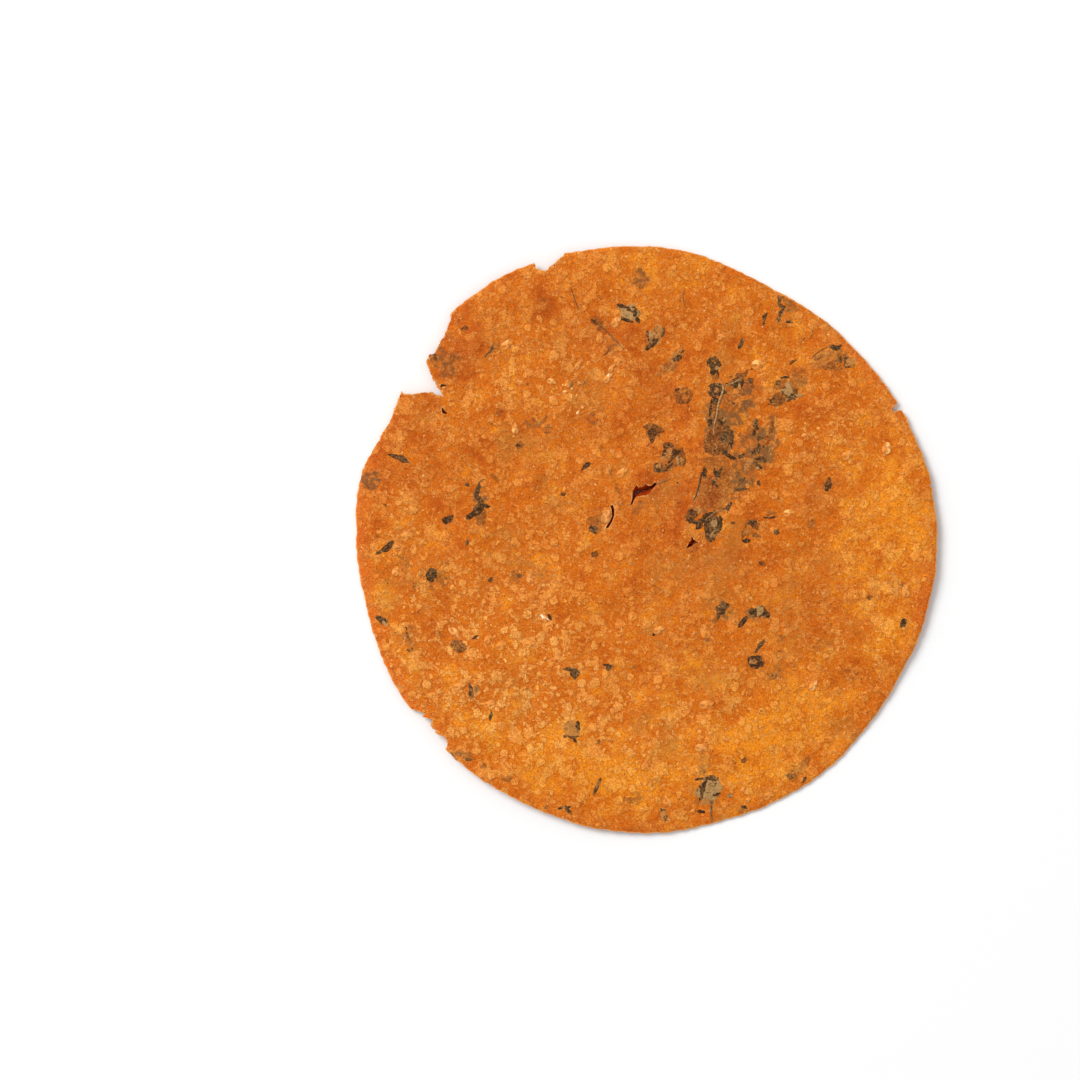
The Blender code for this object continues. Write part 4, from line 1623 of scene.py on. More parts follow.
@dataclass
class SesameSeeds:
    """Every sesame seed on the top."""

    surface: Surface
    paint: bpy.types.Material
    covered_rise: float = 0.18 * MM
    bare_rise: float = 0.42 * MM
    sink: float = 0.02 * MM
    # Painted shade on each seed's lower half, fading out this far above its middle, in units of its height.
    foot: float = 0.24
    taper: float = 0.3
    # How far round its middle a seed rests, and the most that it rises, as shares of its width.
    seat: float = 0.4
    most_rise: float = 0.25
    sides: int = 18
    rings: int = 12

    def build(self) -> bpy.types.Object:
        """Lay the seeds, as one piece.

        Returns:
            The finished piece.
        """
        joined = bmesh.new()
        bare: list[float] = []
        foot: list[float] = []
        for seed in SEEDS:
            sizes = {"u_segments": self.sides, "v_segments": self.rings, "radius": 0.5}
            unit = bmesh.ops.create_uvsphere(joined, **sizes)
            for vertex in unit["verts"]:
                foot.append(1.0 - min(1.0, max(0.0, vertex.co.z / self.foot)))
                bare.append(seed.bare)
                vertex.co.y *= 1.0 - self.taper * (vertex.co.x + 0.5)
            bmesh.ops.transform(joined, matrix=self.place(seed), verts=unit["verts"])
        mesh = take_mesh(joined, "sesame_seeds")
        hold_down(mesh)
        spots = points_of(mesh)
        values = spot_values(spots[:, 0], spots[:, 1], np.ones(len(spots)))
        values["bare"] = np.array(bare)
        values["foot"] = np.array(foot)
        keep_values(mesh, values)
        mesh.shade_smooth()
        return show("sesame_seeds", mesh, self.paint)

    def place(self, seed: Seed) -> Matrix:
        """Where a unit seed goes: tilted with the dough, turned to its heading and half sunk.

        Args:
            seed: The seed.

        Returns:
            The way from a ball of unit size to the seed.
        """
        height, normal = self.surface.seat(seed.x * MM, seed.y * MM, self.seat * seed.width * MM)
        spot = Vector((seed.x * MM, seed.y * MM, height)) - normal * self.sink
        full = self.covered_rise + (self.bare_rise - self.covered_rise) * max(0.0, seed.bare)
        rise = min(full, self.most_rise * seed.width * MM)
        tilt = Vector((0.0, 0.0, 1.0)).rotation_difference(normal).to_matrix().to_4x4()
        turn = Matrix.Rotation(math.radians(seed.heading), 4, "Z")
        size = Matrix.Diagonal((seed.length * MM, seed.width * MM, 2.0 * (rise + self.sink), 1.0))
        return Matrix.Translation(spot) @ tilt @ turn @ size


class FlakeTone(Enum):
    """The looks of leaf flakes: how light, how warm brown, and how much dough lies over it."""

    BLACK = (-0.15, 0.6, -0.1)
    DARK = (0.14, 0.35, -0.1)
    SLATE = (0.34, 0.2, 0.0)
    GREY = (0.8, 0.1, 0.05)
    PALE = (1.15, 0.1, 0.0)
    STRAW = (1.15, 0.9, 0.1)
    TAN = (0.85, 0.6, 0.15)
    OLIVE = (0.6, 1.0, 0.1)
    UMBER = (0.42, 1.0, 0.28)
    DUSK = (0.22, 0.8, 0.0)
    MIST = (0.7, 0.7, 0.28)
    HAZE = (0.95, 0.9, 0.5)
    BROWN = (0.34, 1.0, 0.12)
    AMBER = (0.48, 1.0, 0.4)
    VEILED = (0.42, 0.8, 0.42)


# The tones by their own names, in the same order, for the table of flakes.
BLACK, DARK, SLATE, GREY, PALE, STRAW, TAN, OLIVE, UMBER, DUSK, MIST, HAZE, BROWN, AMBER, VEILED = FlakeTone


@dataclass(frozen=True)
class Flake:
    """A flake of leaf: place, length and width in millimetres, heading in degrees, tone and raggedness."""

    x: float
    y: float
    length: float
    width: float
    heading: float
    tone: FlakeTone
    rag: float = 0.6


FLAKES = each(
    Flake,
    (-4.1, 54.3, 5, 3.2, -30, PALE, 0.5), (-5.3, 55.9, 2.4, 0.9, -12, DARK, 0.5),
    (-4.1, 55.2, 1.7, 0.6, -35, DARK, 0.5), (-2.7, 54.4, 2.2, 0.8, 85, DARK, 0.5),
    (-5, 52.8, 2.4, 0.6, -18, DARK, 0.5), (-3, 55.7, 1.2, 0.5, 0, DARK, 0.5),
    (-2.2, 52.9, 1.2, 0.6, -60, DARK, 0.5), (1.9, 48.9, 3.4, 3, 60, TAN, 0.4),
    (3.1, 50, 2.6, 1.7, 75, STRAW, 0.4), (1.5, 47.3, 3.2, 1.3, 32, DARK, 0.35),
    (0.5, 46.3, 1.4, 0.7, 50, DARK, 0.3), (0.4, 48.7, 1.9, 0.4, 100, SLATE, 0.4),
    (4, 49.8, 1.5, 0.5, 75, SLATE, 0.5), (1.2, 49.1, 1.2, 0.9, 20, PALE, 0.4),
    (5.3, 41.8, 7, 1.9, 45, MIST, 0.5), (7.1, 43.4, 2.3, 1, 30, SLATE, 0.4),
    (8.2, 44.6, 1.6, 0.4, 45, SLATE, 0.3), (4.6, 41.5, 3, 0.5, 48, VEILED, 0.5),
    (3.3, 40.6, 2.4, 0.5, 75, VEILED, 0.4), (16.5, 41.2, 4.4, 2.5, 100, SLATE, 0.7),
    (15.9, 41.9, 1.6, 1.3, 60, DARK, 0.7), (16.2, 39.9, 2.2, 1.1, 75, DARK, 0.7),
    (17.3, 41.9, 1.3, 0.9, 100, DARK, 0.7), (16.8, 41.1, 1.2, 0.9, 30, PALE, 0.5),
    (16.4, 38.9, 1.6, 1.5, 80, AMBER, 0.7), (16.3, 35.6, 3.2, 2.2, 85, SLATE, 0.8),
    (16, 35.8, 1.8, 1.2, 70, DARK, 0.8), (17, 35.9, 1.2, 0.8, 40, TAN, 0.7),
    (16.6, 33.3, 2, 1, 110, DARK, 0.8), (16.6, 31.2, 3.6, 1.2, 95, BROWN, 0.8),
    (20.6, 37.9, 3.6, 1.2, 38, DARK, 0.8), (22.9, 39.6, 3.6, 1.7, 28, BROWN, 0.8),
    (22.6, 37.9, 2.6, 1.8, 50, SLATE, 0.8), (22.9, 37.4, 1.5, 0.9, 50, DARK, 0.8),
    (20.8, 36.8, 2.6, 0.7, 3, DARK, 0.8), (22.2, 36.4, 1.3, 0.9, 20, TAN, 0.7),
    (25.1, 38.2, 0.9, 1.1, 0, DARK, 0.7), (25.2, 36.8, 0.6, 0.8, 0, BROWN),
    (19.4, 34.2, 6.4, 3, 75, AMBER, 0.7), (20.5, 32.9, 1.2, 0.9, 0, DARK, 0.8),
    (19, 35.4, 1.8, 0.7, 75, SLATE, 0.8), (20.9, 31.3, 2.6, 1.6, 20, VEILED, 0.9),
    (15.5, 29.2, 1.9, 0.9, 80, TAN), (15.1, 28.1, 2, 0.9, 60, DARK, 0.8),
    (14.6, 27, 1.3, 0.9, 60, SLATE, 0.8), (15.4, 31.6, 2.6, 0.5, 80, DARK, 0.8),
    (18.2, 28.3, 2.4, 1.3, 35, SLATE, 0.8), (18.9, 28.9, 1.2, 0.6, 30, TAN, 0.8),
    (17.7, 27.6, 1, 0.6, 30, DARK, 0.8), (17.2, 23.7, 8, 6.6, 88, BROWN, 0.35),
    (18.5, 24.6, 3.4, 2, 80, SLATE, 0.8), (19.2, 26.9, 1.2, 1, 40, DARK, 0.7),
    (20.4, 24.4, 3, 0.8, 88, SLATE, 0.8), (15, 23.9, 4, 2, 85, BROWN, 0.7),
    (16.6, 21.2, 3.4, 0.9, -5, SLATE, 0.8), (18.4, 23, 0.8, 0.5, 0, TAN, 0.5),
    (19.7, 20.1, 2.5, 0.6, -25, BLACK, 0.4), (16.8, 18.5, 6.2, 3.6, -5, AMBER, 0.5),
    (14, 17, 3.4, 0.6, 88, DARK, 0.8), (14, 14.2, 2.4, 0.7, 85, SLATE, 0.8),
    (15.4, 18.7, 0.9, 0.35, -15, PALE, 0.3), (16.2, 11.2, 9.6, 6.6, 62, AMBER, 0.25),
    (18.2, 15.6, 5, 3.2, 80, AMBER, 0.5), (16.6, 16.2, 2.4, 1, -62, DARK), (17.6, 16.3, 2.6, 1.1, 60, DARK),
    (16.4, 13.7, 2, 1.3, -60, SLATE), (17.1, 15.4, 1.9, 1.3, 80, SLATE, 0.7),
    (16.9, 17.4, 2.2, 0.5, 8, TAN, 0.5), (12.3, 7, 2.4, 1.6, 50, TAN, 0.5), (22.8, 12.1, 2, 0.45, 3, DARK),
    (26.9, 13.6, 0.7, 1, 0, DARK), (23, 14.6, 1.5, 0.9, 40, SLATE, 0.8),
    (19.6, 8.2, 2.6, 1.4, 60, SLATE, 0.9), (10.7, 5.8, 2.9, 2, 70, DUSK, 0.4),
    (11.4, 4.2, 3.6, 0.9, -16, DARK), (12.6, 3.8, 1.9, 1.4, 60, DARK), (14.4, 5.3, 2.4, 1.4, 35, BLACK),
    (16, 3.1, 5.8, 3.2, 68, SLATE, 0.4), (14.5, 2.9, 4.4, 0.9, 97, DARK, 0.4),
    (15.3, 0, 1.4, 1.1, 70, SLATE), (16.9, 2.4, 4.6, 0.9, 68, SLATE), (17.5, 4.3, 1.6, 1, 60, DARK),
    (16.3, 3.9, 1.8, 1.6, 40, PALE, 0.4), (15.7, 1.3, 1.1, 0.7, 70, GREY, 0.4),
    (15.6, 2.5, 1.6, 0.9, 60, SLATE), (20.6, 3.9, 0.7, 0.5, 0, BROWN, 0.5),
    (25.5, 3.6, 2.5, 2.1, -30, BROWN, 0.8), (25.3, 3.9, 1.4, 1, 0, DARK, 0.8),
    (26.2, 0.9, 1.3, 1.2, 0, BROWN, 0.7), (23.3, 1.7, 2.4, 0.8, 70, BROWN, 0.7),
    (23.8, -0.3, 1.3, 0.7, 0, DARK, 0.7), (24.5, 1.6, 1.6, 1.6, 60, AMBER, 0.4),
    (31.2, 1.8, 0.9, 1.4, -10, SLATE, 0.4), (29.9, 6.3, 2.2, 1.6, 10, AMBER),
    (30, 5.3, 2.4, 0.45, 3, DARK, 0.7), (26.3, 27.6, 2.2, 1.1, 105, SLATE, 0.8),
    (25.7, 26, 0.8, 1.2, 0, DARK, 0.7), (25, 25.9, 1.4, 1, 40, VEILED, 0.8),
    (27, 22.9, 3.2, 1.3, 82, SLATE, 0.9), (26.6, 21.9, 1.5, 0.8, 60, DARK, 0.9),
    (25.7, 20.9, 1.2, 0.9, 30, SLATE, 0.9), (25.4, 21.9, 1, 0.8, 0, TAN, 0.7),
    (26.3, 18, 1.9, 0.8, -25, SLATE, 0.7), (27.9, 18.8, 2.6, 0.8, 42, SLATE, 0.7),
    (26.5, 19.6, 2.6, 0.6, 5, DARK, 0.9), (26.6, 17.2, 0.6, 0.5, 0, PALE, 0.3),
    (24.4, 18.2, 2.6, 1.5, 68, TAN, 0.5), (23, 20.2, 1.4, 0.8, 20, SLATE, 0.9),
    (22.3, 18.9, 1.6, 1, -60, VEILED, 0.9), (30.2, 27.4, 2.8, 0.8, 78, BROWN),
    (29.1, 24.1, 1.4, 0.7, 105, BROWN), (28, 23, 2.4, 1.6, 60, AMBER, 0.8),
    (35.1, 25.8, 1.8, 0.8, 8, VEILED, 0.7), (8.7, 34.4, 4, 3.8, 0, UMBER, 0.25),
    (7.4, 35.9, 0.9, 0.7, 0, DARK, 0.5), (8.6, 35.4, 1.3, 0.9, 20, HAZE), (9.2, 34, 1.3, 1.1, 0, HAZE),
    (8.3, 33, 1.8, 0.6, -15, BROWN, 0.7), (10, 33.3, 1, 0.5, 50, BROWN, 0.7),
    (1.8, 26.7, 4.6, 1.7, -12, BROWN, 0.2), (1.4, 25.5, 2.4, 2, 90, DUSK, 0.2),
    (1.35, 24.2, 1.7, 0.9, 85, DUSK, 0.2), (5.9, 19.8, 6.6, 4.4, 55, AMBER, 0.4),
    (8.3, 19.8, 3.6, 2.1, 95, BROWN, 0.3), (5.4, 22.4, 2.6, 1.9, -15, DUSK, 0.3),
    (6.5, 21.3, 1.8, 1, -45, DUSK, 0.4), (4.9, 20.4, 3.3, 1.7, 62, TAN, 0.4),
    (4, 20.3, 1.8, 0.5, 70, SLATE), (7.3, 20.6, 1.4, 0.9, 30, BLACK, 0.5),
    (6.2, 19.6, 3.3, 0.7, 50, DARK, 0.5), (7.5, 18.8, 1.7, 0.6, 95, PALE, 0.4),
    (8.3, 18.9, 1.4, 0.6, 100, TAN, 0.5), (4.3, 18, 2.3, 1.4, 30, VEILED, 0.5),
    (2.9, 17.4, 2, 1.8, 20, SLATE, 0.4), (2.9, 17.5, 1.2, 1.1, 20, TAN, 0.4),
    (4, 16.5, 2.4, 0.4, 12, SLATE, 0.4), (5.5, 17.5, 1.9, 0.5, 45, SLATE),
    (36.4, 37.8, 4.4, 3.4, 80, AMBER), (31.2, 33.4, 3.7, 2, 15, BROWN), (30.2, 33.2, 1.1, 0.8, 0, DARK),
    (32.2, 37.6, 2.7, 1.9, 20, VEILED, 0.8), (31.8, 37.4, 1.2, 0.9, 0, SLATE, 0.8),
    (33.2, 38.8, 1.2, 0.5, 10, SLATE), (33.9, 35.2, 3.6, 2.6, -60, SLATE),
    (34.2, 35.5, 2.8, 2.2, -60, PALE), (36.3, 34.7, 1.7, 0.5, -5, PALE, 0.4),
    (32.6, 34.9, 1.6, 0.9, 80, DARK, 0.7), (35.9, 35.7, 1.3, 0.8, 80, BROWN, 0.7),
    (36.2, 39.9, 1.7, 0.6, 10, BROWN), (35.2, 42.8, 1.8, 0.6, 35, BROWN, 0.7),
    (34.2, 57.1, 4.2, 1.9, -35, VEILED), (31.9, 57.3, 1.9, 0.7, 88, SLATE, 0.7),
    (32.7, 55.9, 1.6, 0.6, -20, SLATE, 0.7), (32.5, 54.5, 2.3, 0.6, 62, DARK),
    (31.8, 52.8, 1.3, 0.7, 80, SLATE, 0.7), (33.5, 53.3, 2.6, 1.7, 60, HAZE, 0.5),
    (34.1, 52.4, 1.2, 0.5, -10, SLATE), (28.5, 53.7, 1.2, 0.6, 70, SLATE),
    (28.2, 52.2, 1.1, 0.4, 75, SLATE), (43.8, 43.7, 7.4, 4.2, 22, HAZE, 0.45),
    (44, 41.4, 3.4, 2.2, 20, UMBER, 0.9), (46.2, 44.7, 4.4, 1.5, 105, UMBER, 0.9),
    (41.2, 43.8, 2.4, 1.2, 40, MIST, 0.7), (45.6, 46.2, 1.6, 1, 20, SLATE, 0.9),
    (46.6, 43.2, 1.3, 0.8, 60, SLATE, 0.9), (48.9, 42.4, 2.9, 2.3, 10, SLATE, 0.3),
    (48.9, 42.4, 2.5, 2, 10, STRAW, 0.3), (47.8, 43.3, 0.8, 0.4, 30, SLATE),
    (-14.6, 17.6, 1.7, 1, 30, DARK, 0.7), (-8.4, 15.9, 2.6, 0.7, -75, VEILED, 0.7),
    (-7.2, 12.6, 3.6, 0.6, -68, VEILED, 0.8), (-12.2, 4, 4.4, 2.6, 75, VEILED, 0.8),
    (-11.3, 5.7, 1.2, 0.9, 20, VEILED), (-12.6, 2.4, 1.7, 1.1, 0, SLATE, 0.8),
    (-1.9, 7.6, 2.4, 1.6, 30, VEILED, 0.8), (-11, 21.9, 1.2, 0.5, 70, VEILED, 0.5),
    (0, 15.5, 0.9, 0.5, 70, VEILED, 0.5), (43.6, 13.1, 2.8, 1.2, 75, DUSK, 0.3),
    (39.8, 3.7, 2.2, 1.7, 30, VEILED), (22.8, 47.2, 2.1, 0.7, 65, SLATE, 0.5),
    (-50.4, 43, 2.6, 2, -60, VEILED), (-50.6, 43.3, 1.4, 0.9, -70, SLATE, 0.8),
    (-49.3, 41.6, 1.5, 0.6, -60, VEILED), (-47.3, 43.5, 2.8, 1.5, 20, VEILED, 0.9),
    (-48.9, 36.9, 0.9, 0.5, 10, BLACK, 0.5), (-58.6, 19.2, 2.9, 1.1, -22, SLATE, 0.3),
    (-60.6, 20, 2.5, 0.8, -22, DARK, 0.3), (-39.8, 5.2, 3.9, 2.2, 80, UMBER, 0.3),
    (-40.2, 7.2, 2.8, 2, 50, DARK, 0.3), (-40, 7.8, 2.3, 1.4, 60, DARK, 0.5),
    (-40.2, 9.6, 2.7, 0.9, 125, DARK, 0.4), (-38.6, 8.1, 2, 0.7, -15, DARK, 0.4),
    (-41.8, 6, 2.4, 1.1, 35, DARK, 0.4), (-40.5, 12, 2.6, 0.7, 80, SLATE, 0.4),
    (-43.1, 13.2, 0.9, 0.6, 0, SLATE, 0.4), (-36.6, 15, 1.6, 0.9, -40, VEILED, 0.4),
    (-43.1, -0.8, 1, 0.5, 80, SLATE, 0.4), (-19.9, 11, 0.9, 0.8, 0, DUSK, 0.4),
    (-47.8, 4.8, 2.6, 1.5, 35, DARK, 0.25), (-62.3, -1.8, 3.2, 1.2, 45, DARK, 0.3),
    (-64, -3, 1.7, 0.6, 30, SLATE, 0.5), (-64.5, 0.8, 1.3, 0.8, 10, VEILED, 0.4),
    (-57.8, -5, 4.8, 1.8, 85, HAZE, 0.8), (-57.5, -5.6, 2.4, 0.7, 80, VEILED, 0.8),
    (-36.9, 46, 3, 1.9, 50, HAZE), (-37.2, 45.6, 1.3, 0.5, 60, SLATE), (-30.5, 22.7, 1.8, 1.4, 0, UMBER),
    (-30.6, 22.6, 1, 0.8, 0, DUSK), (-12.2, 52.5, 2.4, 1.4, -30, UMBER),
    (-12.6, 52.4, 1.1, 0.7, -30, DUSK, 0.5), (-43.8, 50.5, 1.5, 0.8, 20, BROWN, 0.5),
    (-51.1, -8.7, 3.4, 2.6, 0, VEILED), (-50.8, -6.2, 2.3, 0.9, 85, HAZE, 0.5),
    (-51.4, -8.5, 2.5, 2.2, 45, SLATE, 0.35), (-51.4, -8.8, 1.6, 1, 45, DARK, 0.5),
    (-55.8, -11.2, 3.2, 0.9, 80, VEILED, 0.8), (-63.6, -19.5, 2.8, 1.1, -35, SLATE, 0.4),
    (-62.8, -20.2, 1.4, 0.7, -35, PALE, 0.4), (-56.8, -23.8, 5, 2.4, 105, HAZE, 0.7),
    (-57.4, -23, 3, 0.7, 105, SLATE, 0.8), (-56.7, -26.3, 1.6, 0.9, 60, SLATE),
    (-49.6, -22.8, 2.2, 0.6, -35, VEILED, 0.4), (-41.1, -23.5, 0.9, 0.4, 35, SLATE, 0.4),
    (-45.1, -25.6, 3.5, 2.7, -20, OLIVE, 0.2), (-44.6, -26.3, 1.9, 1.2, 10, BROWN, 0.4),
    (-31.5, -8.5, 2.8, 1.7, 10, VEILED), (-31, -8.5, 1.2, 0.8, -30, SLATE),
    (-37.5, -9.6, 1.1, 0.7, 60, SLATE, 0.4), (-42.2, -36.2, 2.8, 0.8, 95, SLATE),
    (-37.4, -42.3, 1.7, 0.5, 80, SLATE, 0.5), (-33.5, -57.2, 2.5, 1.9, 0, VEILED, 0.5),
    (-43.1, -52.2, 2.9, 1.9, -40, VEILED, 0.7), (-42.7, -52.9, 1.6, 0.8, -20, SLATE, 0.7),
    (-39.2, -54.3, 1.3, 1, 60, VEILED), (-17.3, -32, 2.3, 1.6, -70, SLATE, 0.4),
    (-18.5, -31.2, 1.8, 0.7, 0, SLATE, 0.4), (-9.4, -30.2, 2.4, 0.8, -10, DARK, 0.8),
    (-9, -30.9, 1.4, 0.7, 30, SLATE, 0.8), (-12.4, -3.7, 1.4, 1.3, 0, BROWN, 0.5),
    (18.6, -16.2, 2.7, 1.8, 30, SLATE, 0.7), (18.1, -17, 2.1, 0.9, 80, DARK),
    (19.1, -15.9, 1.1, 0.7, 20, DARK, 0.7), (17.2, -18.2, 2, 0.9, 70, SLATE, 0.7),
    (16.4, -19.4, 1.8, 0.9, 80, VEILED), (19.7, -17, 1.7, 1.2, 60, VEILED, 0.8),
    (27, -17.4, 4.4, 2.2, -5, SLATE, 0.4), (27.1, -17.2, 2.4, 2, 50, PALE, 0.5),
    (25.2, -17.5, 1.2, 1.1, 0, BLACK, 0.5), (29, -18, 1.2, 0.9, -50, DARK, 0.5),
    (23.1, -19.8, 2.4, 1, 55, DARK, 0.3), (27.2, -25.6, 2.8, 0.7, 53, SLATE, 0.3),
    (25.7, -29.4, 3.6, 2.4, -10, DARK, 0.5), (25.6, -29.4, 2.2, 1.5, -10, TAN, 0.4),
    (26.9, -29.7, 1.3, 1, 80, BLACK, 0.5), (30.7, -32.8, 2.6, 1.8, 20, OLIVE, 0.5),
    (32.8, -23.7, 2.4, 1.1, 20, VEILED, 0.8), (-23.2, -18.6, 1, 0.4, -60, BLACK, 0.2),
    (1.8, -22.7, 0.7, 0.5, 60, BLACK, 0.3), (41.3, -17.9, 0.8, 0.6, 0, VEILED, 0.4),
    (27.7, -5.9, 1.3, 1.1, 0, BROWN, 0.5), (61.8, -20, 2.2, 1.3, 60, SLATE, 0.5),
    (53.6, -13.8, 1.1, 0.9, 0, BROWN, 0.5), (-18, -45.8, 3.6, 3.4, 40, STRAW, 0.45),
    (-16.5, -44.8, 2, 0.9, 80, SLATE), (-17.6, -47.3, 1.9, 0.6, 0, SLATE),
    (-19.4, -47.2, 0.7, 0.5, 0, DARK, 0.5), (-17.1, -48.3, 0.8, 0.4, -60, DARK, 0.4),
    (-11.8, -59.3, 3.3, 0.6, 65, SLATE, 0.3), (-19.8, -64.4, 2, 0.4, 8, SLATE, 0.4),
    (-18.8, -65, 1.8, 0.7, -50, DARK, 0.4), (15.2, -60.1, 6.4, 5.2, 75, PALE, 0.55),
    (14, -63.1, 2.4, 1.5, 40, STRAW), (13.4, -59.7, 2.6, 1.3, 75, DARK), (14.4, -58.2, 2.2, 0.9, 50, DARK),
    (16, -57.4, 2.2, 0.8, 0, SLATE, 0.7), (16.8, -61.3, 1.8, 0.6, 20, DARK, 0.7),
    (12.6, -57.6, 1.6, 0.5, 10, SLATE), (13.2, -61.8, 1.8, 0.6, 70, SLATE, 0.7),
    (13.8, -53.6, 4.6, 2.6, 85, HAZE, 0.7), (13.3, -54.4, 2.2, 0.9, 85, VEILED, 0.8),
    (23.5, -53.2, 1.2, 0.9, 20, BROWN, 0.5), (20.1, -61.6, 1.2, 0.8, 0, GREY, 0.5),
    (37.4, -54.6, 5.4, 1.5, 47, VEILED, 0.8), (35.4, -56.6, 1.6, 0.7, 50, SLATE, 0.7),
    (38, -57.8, 0.9, 0.4, 60, SLATE, 0.5), (22.6, -65, 2.4, 1.5, -20, VEILED),
    (23.5, -64.4, 1.4, 0.7, -15, DARK), (13.1, -65.4, 1.2, 0.6, -10, DARK, 0.5),
    (4.2, -66.1, 2.6, 1.4, 100, STRAW, 0.5), (4.1, -65, 1, 0.6, 0, DARK, 0.5),
    (4.6, -66.8, 1.2, 0.8, 80, SLATE, 0.5), (-2.8, -62.3, 3.4, 2, 0, VEILED, 0.8),
    (2.2, -57.8, 1.2, 0.8, 0, VEILED), (9.1, -67, 1.6, 0.6, 88, VEILED, 0.5),
)


@dataclass
class LeafFlakes:
    """Every flake of leaf, a thin closed sheet that follows the dough and dips into it at its edge."""

    surface: Surface
    paint: bpy.types.Material
    cell: float = 0.215 * MM
    border: float = 0.3
    fullness: float = 0.16
    lobe_length: float = 1.3
    # How far apart the flakes read their chance outlines.
    lobe_layer: float = 7.3
    teeth_layer: float = 3.9
    # Raggedness by scale: reach in millimetres, and length in millimetres.
    teeth: tuple[tuple[float, float], ...] = ((1.3, 1.9), (0.8, 0.75), (0.35, 0.4))
    proud: float = 0.05 * MM
    layer_step: float = 0.016 * MM
    highest: int = 9
    # How near two flakes may touch, as a share of their four sides.
    touch: float = 0.25
    # How far a wholly ragged flake may reach past its size, and how near the rim it ends.
    spread: float = 0.6
    rim_margin: float = 0.4 * MM
    dip: float = 0.12 * MM
    edge_slope: float = 0.45
    wrinkle: float = 0.07 * MM
    wrinkle_length: float = 0.9 * MM
    thickness: float = 0.25 * MM

    def build(self) -> bpy.types.Object:
        """Lay the flakes, as one piece.

        Returns:
            The finished piece.
        """
        joined = bmesh.new()
        names = ("inside", "light", "warmth", "film")
        layers = {name: joined.verts.layers.float.new(name) for name in names}
        for number, level in enumerate(self.stack()):
            self.add_flake(joined, layers, number, level)
        bmesh.ops.recalc_face_normals(joined, faces=joined.faces)
        mesh = take_mesh(joined, "leaf_flakes")
        hold_down(mesh)
        spots = points_of(mesh)
        keep_values(mesh, spot_values(spots[:, 0], spots[:, 1], np.ones(len(spots))))
        mesh.shade_smooth()
        return show("leaf_flakes", mesh, self.paint)

    def inside(self, flake: Flake, across: float, along: float, number: int) -> float:
        """How far inside the ragged outline a place of the flake is.

        Args:
            flake: The flake.
            across: Place along its length, in millimetres from its middle.
            along: Place along its width, in millimetres from its middle.
            number: The flake's number, which gives it an outline of its own.

        Returns:
            Millimetres, negative outside and in its gaps.
        """
        half = min(flake.length, flake.width) / 2.0
        u = 2.0 * across / flake.length
        v = 2.0 * along / flake.width
        reach = max(1e-6, math.hypot(u, v))
        round_place = (u / reach * self.lobe_length, v / reach * self.lobe_length, number * self.lobe_layer)
        depth = half * (1.0 + flake.rag * noise.noise(Vector(round_place)) * min(1.0, reach) - reach)
        for size, length in self.teeth:
            chance = wander(across, along, length, number * self.teeth_layer + length)
            depth += flake.rag * size * min(1.0, half) * chance
        return depth + self.fullness

    def stack(self) -> list[int]:
        """How high in the pile each flake lies: one over the highest earlier flake that it may touch.

        Returns:
            A level for each flake.
        """
        levels: list[int] = []
        for flake in FLAKES:
            level = 0
            for earlier, below in zip(FLAKES, levels):
                gap = math.hypot(earlier.x - flake.x, earlier.y - flake.y)
                reach = flake.length + flake.width + earlier.length + earlier.width
                if gap < self.touch * reach:
                    level = max(level, below + 1)
            levels.append(min(level, self.highest))
        return levels

    def add_flake(self, joined: bmesh.types.BMesh, layers: dict, number: int, level: int) -> None:
        """One flake.

        Args:
            joined: The mesh to add it to.
            layers: The mesh's own values by name.
            number: The flake's number.
            level: How high in the pile it lies.
        """
        flake = FLAKES[number]
        grown = 1.0 + self.spread * flake.rag
        half = [side / 2.0 * grown + self.border for side in (flake.length, flake.width)]
        counts = [max(4, math.ceil(2.0 * reach * MM / self.cell)) for reach in half]
        grid = bmesh.ops.create_grid(joined, x_segments=counts[0], y_segments=counts[1], size=1.0)
        turn = Matrix.Rotation(math.radians(flake.heading), 2)
        light, warmth, film = flake.tone.value
        proud = self.proud + self.layer_step * level
        outside = []
        for vertex in grid["verts"]:
            across, along = vertex.co.x * half[0], vertex.co.y * half[1]
            depth = self.inside(flake, across, along, number)
            spot = turn @ Vector((across, along))
            x, y = (flake.x + spot.x) * MM, (flake.y + spot.y) * MM
            if depth < -self.border or FORM.rim_gap(x, y) < self.rim_margin:
                outside.append(vertex)
                continue
            height, _normal = self.surface.top(x, y)
            crease = self.wrinkle * noise.noise(Vector((x, y, 0.0)) / self.wrinkle_length)
            rise = max(-self.dip, min(proud + crease, depth * MM * self.edge_slope))
            vertex.co = (x, y, height + rise)
            vertex[layers["inside"]] = depth
            vertex[layers["light"]] = light
            vertex[layers["warmth"]] = warmth
            vertex[layers["film"]] = film
        bmesh.ops.delete(joined, geom=outside, context="VERTS")
        kept = [vertex for vertex in grid["verts"] if vertex.is_valid]
        faces = list({face for vertex in kept for face in vertex.link_faces})
        grown = bmesh.ops.extrude_face_region(joined, geom=faces, use_keep_orig=True)
        lower = [part for part in grown["geom"] if isinstance(part, bmesh.types.BMVert)]
        bmesh.ops.translate(joined, verts=lower, vec=(0.0, 0.0, -self.thickness))


@dataclass(frozen=True)
class Strand:
    """A stalk, a fibre, a painted shade line or a painted highlight line: its run in millimetres, radius in
    millimetres, and how straw pale it is.
    """

    run: tuple[Point, ...]
    radius: float
    tan: float


